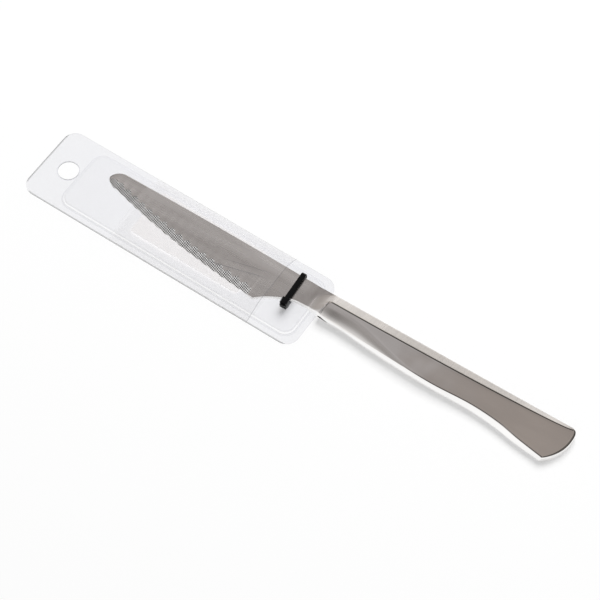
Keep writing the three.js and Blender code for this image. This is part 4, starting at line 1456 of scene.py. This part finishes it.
class KNIFE_OT_stage(bpy.types.Operator):
    """Set the white floor, the studio light and the camera"""

    bl_idname = "knife.set_stage"
    bl_label = "Stage"

    def execute(self, context):
        scene = context.scene
        scene.view_settings.view_transform = "Standard"
        self.add_floor(scene)
        self.set_world(scene)
        self.add_lamp(scene)
        self.add_camera(scene)
        return {"FINISHED"}

    def add_floor(self, scene):
        """Plain floor that glows a little where it is looked at, so that it turns out white."""
        bm = bmesh.new()
        bmesh.ops.create_grid(bm, x_segments=1, y_segments=1, size=FLOOR_SIZE)
        bmesh.ops.translate(bm, vec=(0, 0, CAD_BOX[0][2] - FLOOR_DROP), verts=bm.verts)
        mesh = bpy.data.meshes.new("floor")
        bm.to_mesh(mesh)
        bm.free()
        graph = MaterialGraph("plain_floor")
        graph.tree.nodes.clear()
        paint = graph.add("ShaderNodeBsdfDiffuse", {"Color": scene.knife_finish.floor})
        white = graph.add("ShaderNodeEmission")
        path = graph.light_path()
        seen = graph.calc("MAXIMUM", path["Is Camera Ray"], path["Is Glossy Ray"])
        seen = graph.calc("MAXIMUM", seen, path["Is Transmission Ray"])
        glow = graph.calc("MULTIPLY", seen, FLOOR_GLOW)
        surface = graph.shaders(glow, paint.outputs["BSDF"], white.outputs["Emission"])
        graph.add("ShaderNodeOutputMaterial", {"Surface": surface})
        mesh.materials.append(graph.material)
        floor = bpy.data.objects.new("floor", mesh)
        scene.collection.objects.link(floor)

    def set_world(self, scene):
        """White round the horizon, the grey of a studio ceiling overhead, and a soft glow in it."""
        world = bpy.data.worlds.new("studio")
        world.use_nodes = True
        world.node_tree.nodes.clear()
        graph = Graph(world.node_tree)
        place = graph.place("Generated")
        split = graph.add("ShaderNodeSeparateXYZ", {"Vector": place}).outputs
        height = split["Z"]
        minus_x, minus_y = (graph.calc("MULTIPLY", split[axis], -1.0) for axis in "XY")
        near, tip, far = (graph.ramp(height, stops) for stops in (NEAR_SKY, TIP_SKY, FAR_SKY))
        dome = graph.tone(graph.smooth(minus_x, *TIP_LIMITS), far, tip)
        dome = graph.tone(graph.smooth(minus_y, *NEAR_LIMITS), dome, near)
        overhead = graph.tone(graph.smooth(minus_x, *FRONT_LIMITS), *OVERHEAD)
        dome = graph.tone(graph.smooth(height, *CEILING_LIMITS), dome, overhead)
        a, e = scene.knife_stage.azimuth, scene.knife_stage.elevation
        mirrored_view = (-math.sin(a) * math.cos(e), math.cos(a) * math.cos(e), math.sin(e))
        toward = graph.vector("DOT_PRODUCT", place, mirrored_view)["Value"]
        spot = graph.smooth(toward, *(math.cos(math.radians(turn)) for turn in SHEEN_ANGLES))
        clouds = graph.carry(graph.noise(place, *CLOUD_NOISE), NOISE_RANGE, CLOUD_RANGE)
        sheen = graph.add("ShaderNodeVectorMath", {0: graph.ramp(minus_x, SHEEN), "Scale": clouds},
                          operation="SCALE").outputs["Vector"]
        studio, ambient, white = (
            graph.add("ShaderNodeBackground", {"Color": tone}).outputs["Background"]
            for tone in (graph.tone(spot, dome, sheen), AMBIENT, WHITE))
        path = graph.light_path()
        mirrored_light = graph.shaders(path["Is Glossy Ray"], ambient, studio)
        seen = graph.calc("MAXIMUM", path["Is Camera Ray"], path["Is Transmission Ray"])
        surface = graph.shaders(seen, mirrored_light, white)
        graph.add("ShaderNodeOutputWorld", {"Surface": surface})
        world.cycles.sampling_method = "NONE"
        scene.world = world

    def add_lamp(self, scene):
        """Large soft lamp that gives the shadows but is not mirrored."""
        lamp = bpy.data.lights.new("key_softbox", "AREA")
        lamp.size = LAMP_SIZE
        lamp.energy = LAMP_POWER
        holder = bpy.data.objects.new("key_softbox", lamp)
        holder.location = LAMP_PLACE
        holder.visible_glossy = False
        holder.rotation_euler = (-LAMP_PLACE).to_track_quat("-Z", "Y").to_euler()
        scene.collection.objects.link(holder)

    def add_camera(self, scene):
        s = scene.knife_stage
        camera = bpy.data.cameras.new("camera")
        camera.lens = camera.sensor_width * s.distance / s.frame_width
        camera.clip_start = MM
        holder = bpy.data.objects.new("camera", camera)
        back = Vector((math.sin(s.azimuth) * math.cos(s.elevation),
                       -math.cos(s.azimuth) * math.cos(s.elevation), math.sin(s.elevation)))
        holder.location = Vector(s.target) + back * s.distance
        holder.rotation_euler = (math.pi / 2 - s.elevation, 0, s.azimuth)
        scene.collection.objects.link(holder)
        scene.camera = holder


OPERATORS = (KNIFE_OT_blade, KNIFE_OT_handle, KNIFE_OT_tray, KNIFE_OT_film, KNIFE_OT_tie,
             KNIFE_OT_label, KNIFE_OT_filler, KNIFE_OT_stage)


class KNIFE_PT_panel(bpy.types.Panel):
    """Lists the pieces of the knife and its guard"""

    bl_idname = "KNIFE_PT_panel"
    bl_label = "Steak knife"
    bl_space_type = "VIEW_3D"
    bl_region_type = "UI"
    bl_category = "Knife"

    def draw(self, context):
        for operator in OPERATORS:
            self.layout.operator(operator.bl_idname)


def register():
    for item in (*GROUPS.values(), *OPERATORS, KNIFE_PT_panel):
        bpy.utils.register_class(item)
    for name, group in GROUPS.items():
        setattr(bpy.types.Scene, name, bpy.props.PointerProperty(type=group))


def unregister():
    for name in GROUPS:
        delattr(bpy.types.Scene, name)
    for item in (KNIFE_PT_panel, *reversed(OPERATORS), *reversed(list(GROUPS.values()))):
        bpy.utils.unregister_class(item)


def main():
    register()
    for operator in OPERATORS:
        family, name = operator.bl_idname.split(".")
        getattr(getattr(bpy.ops, family), name)()


if __name__ == "__main__":
    main()
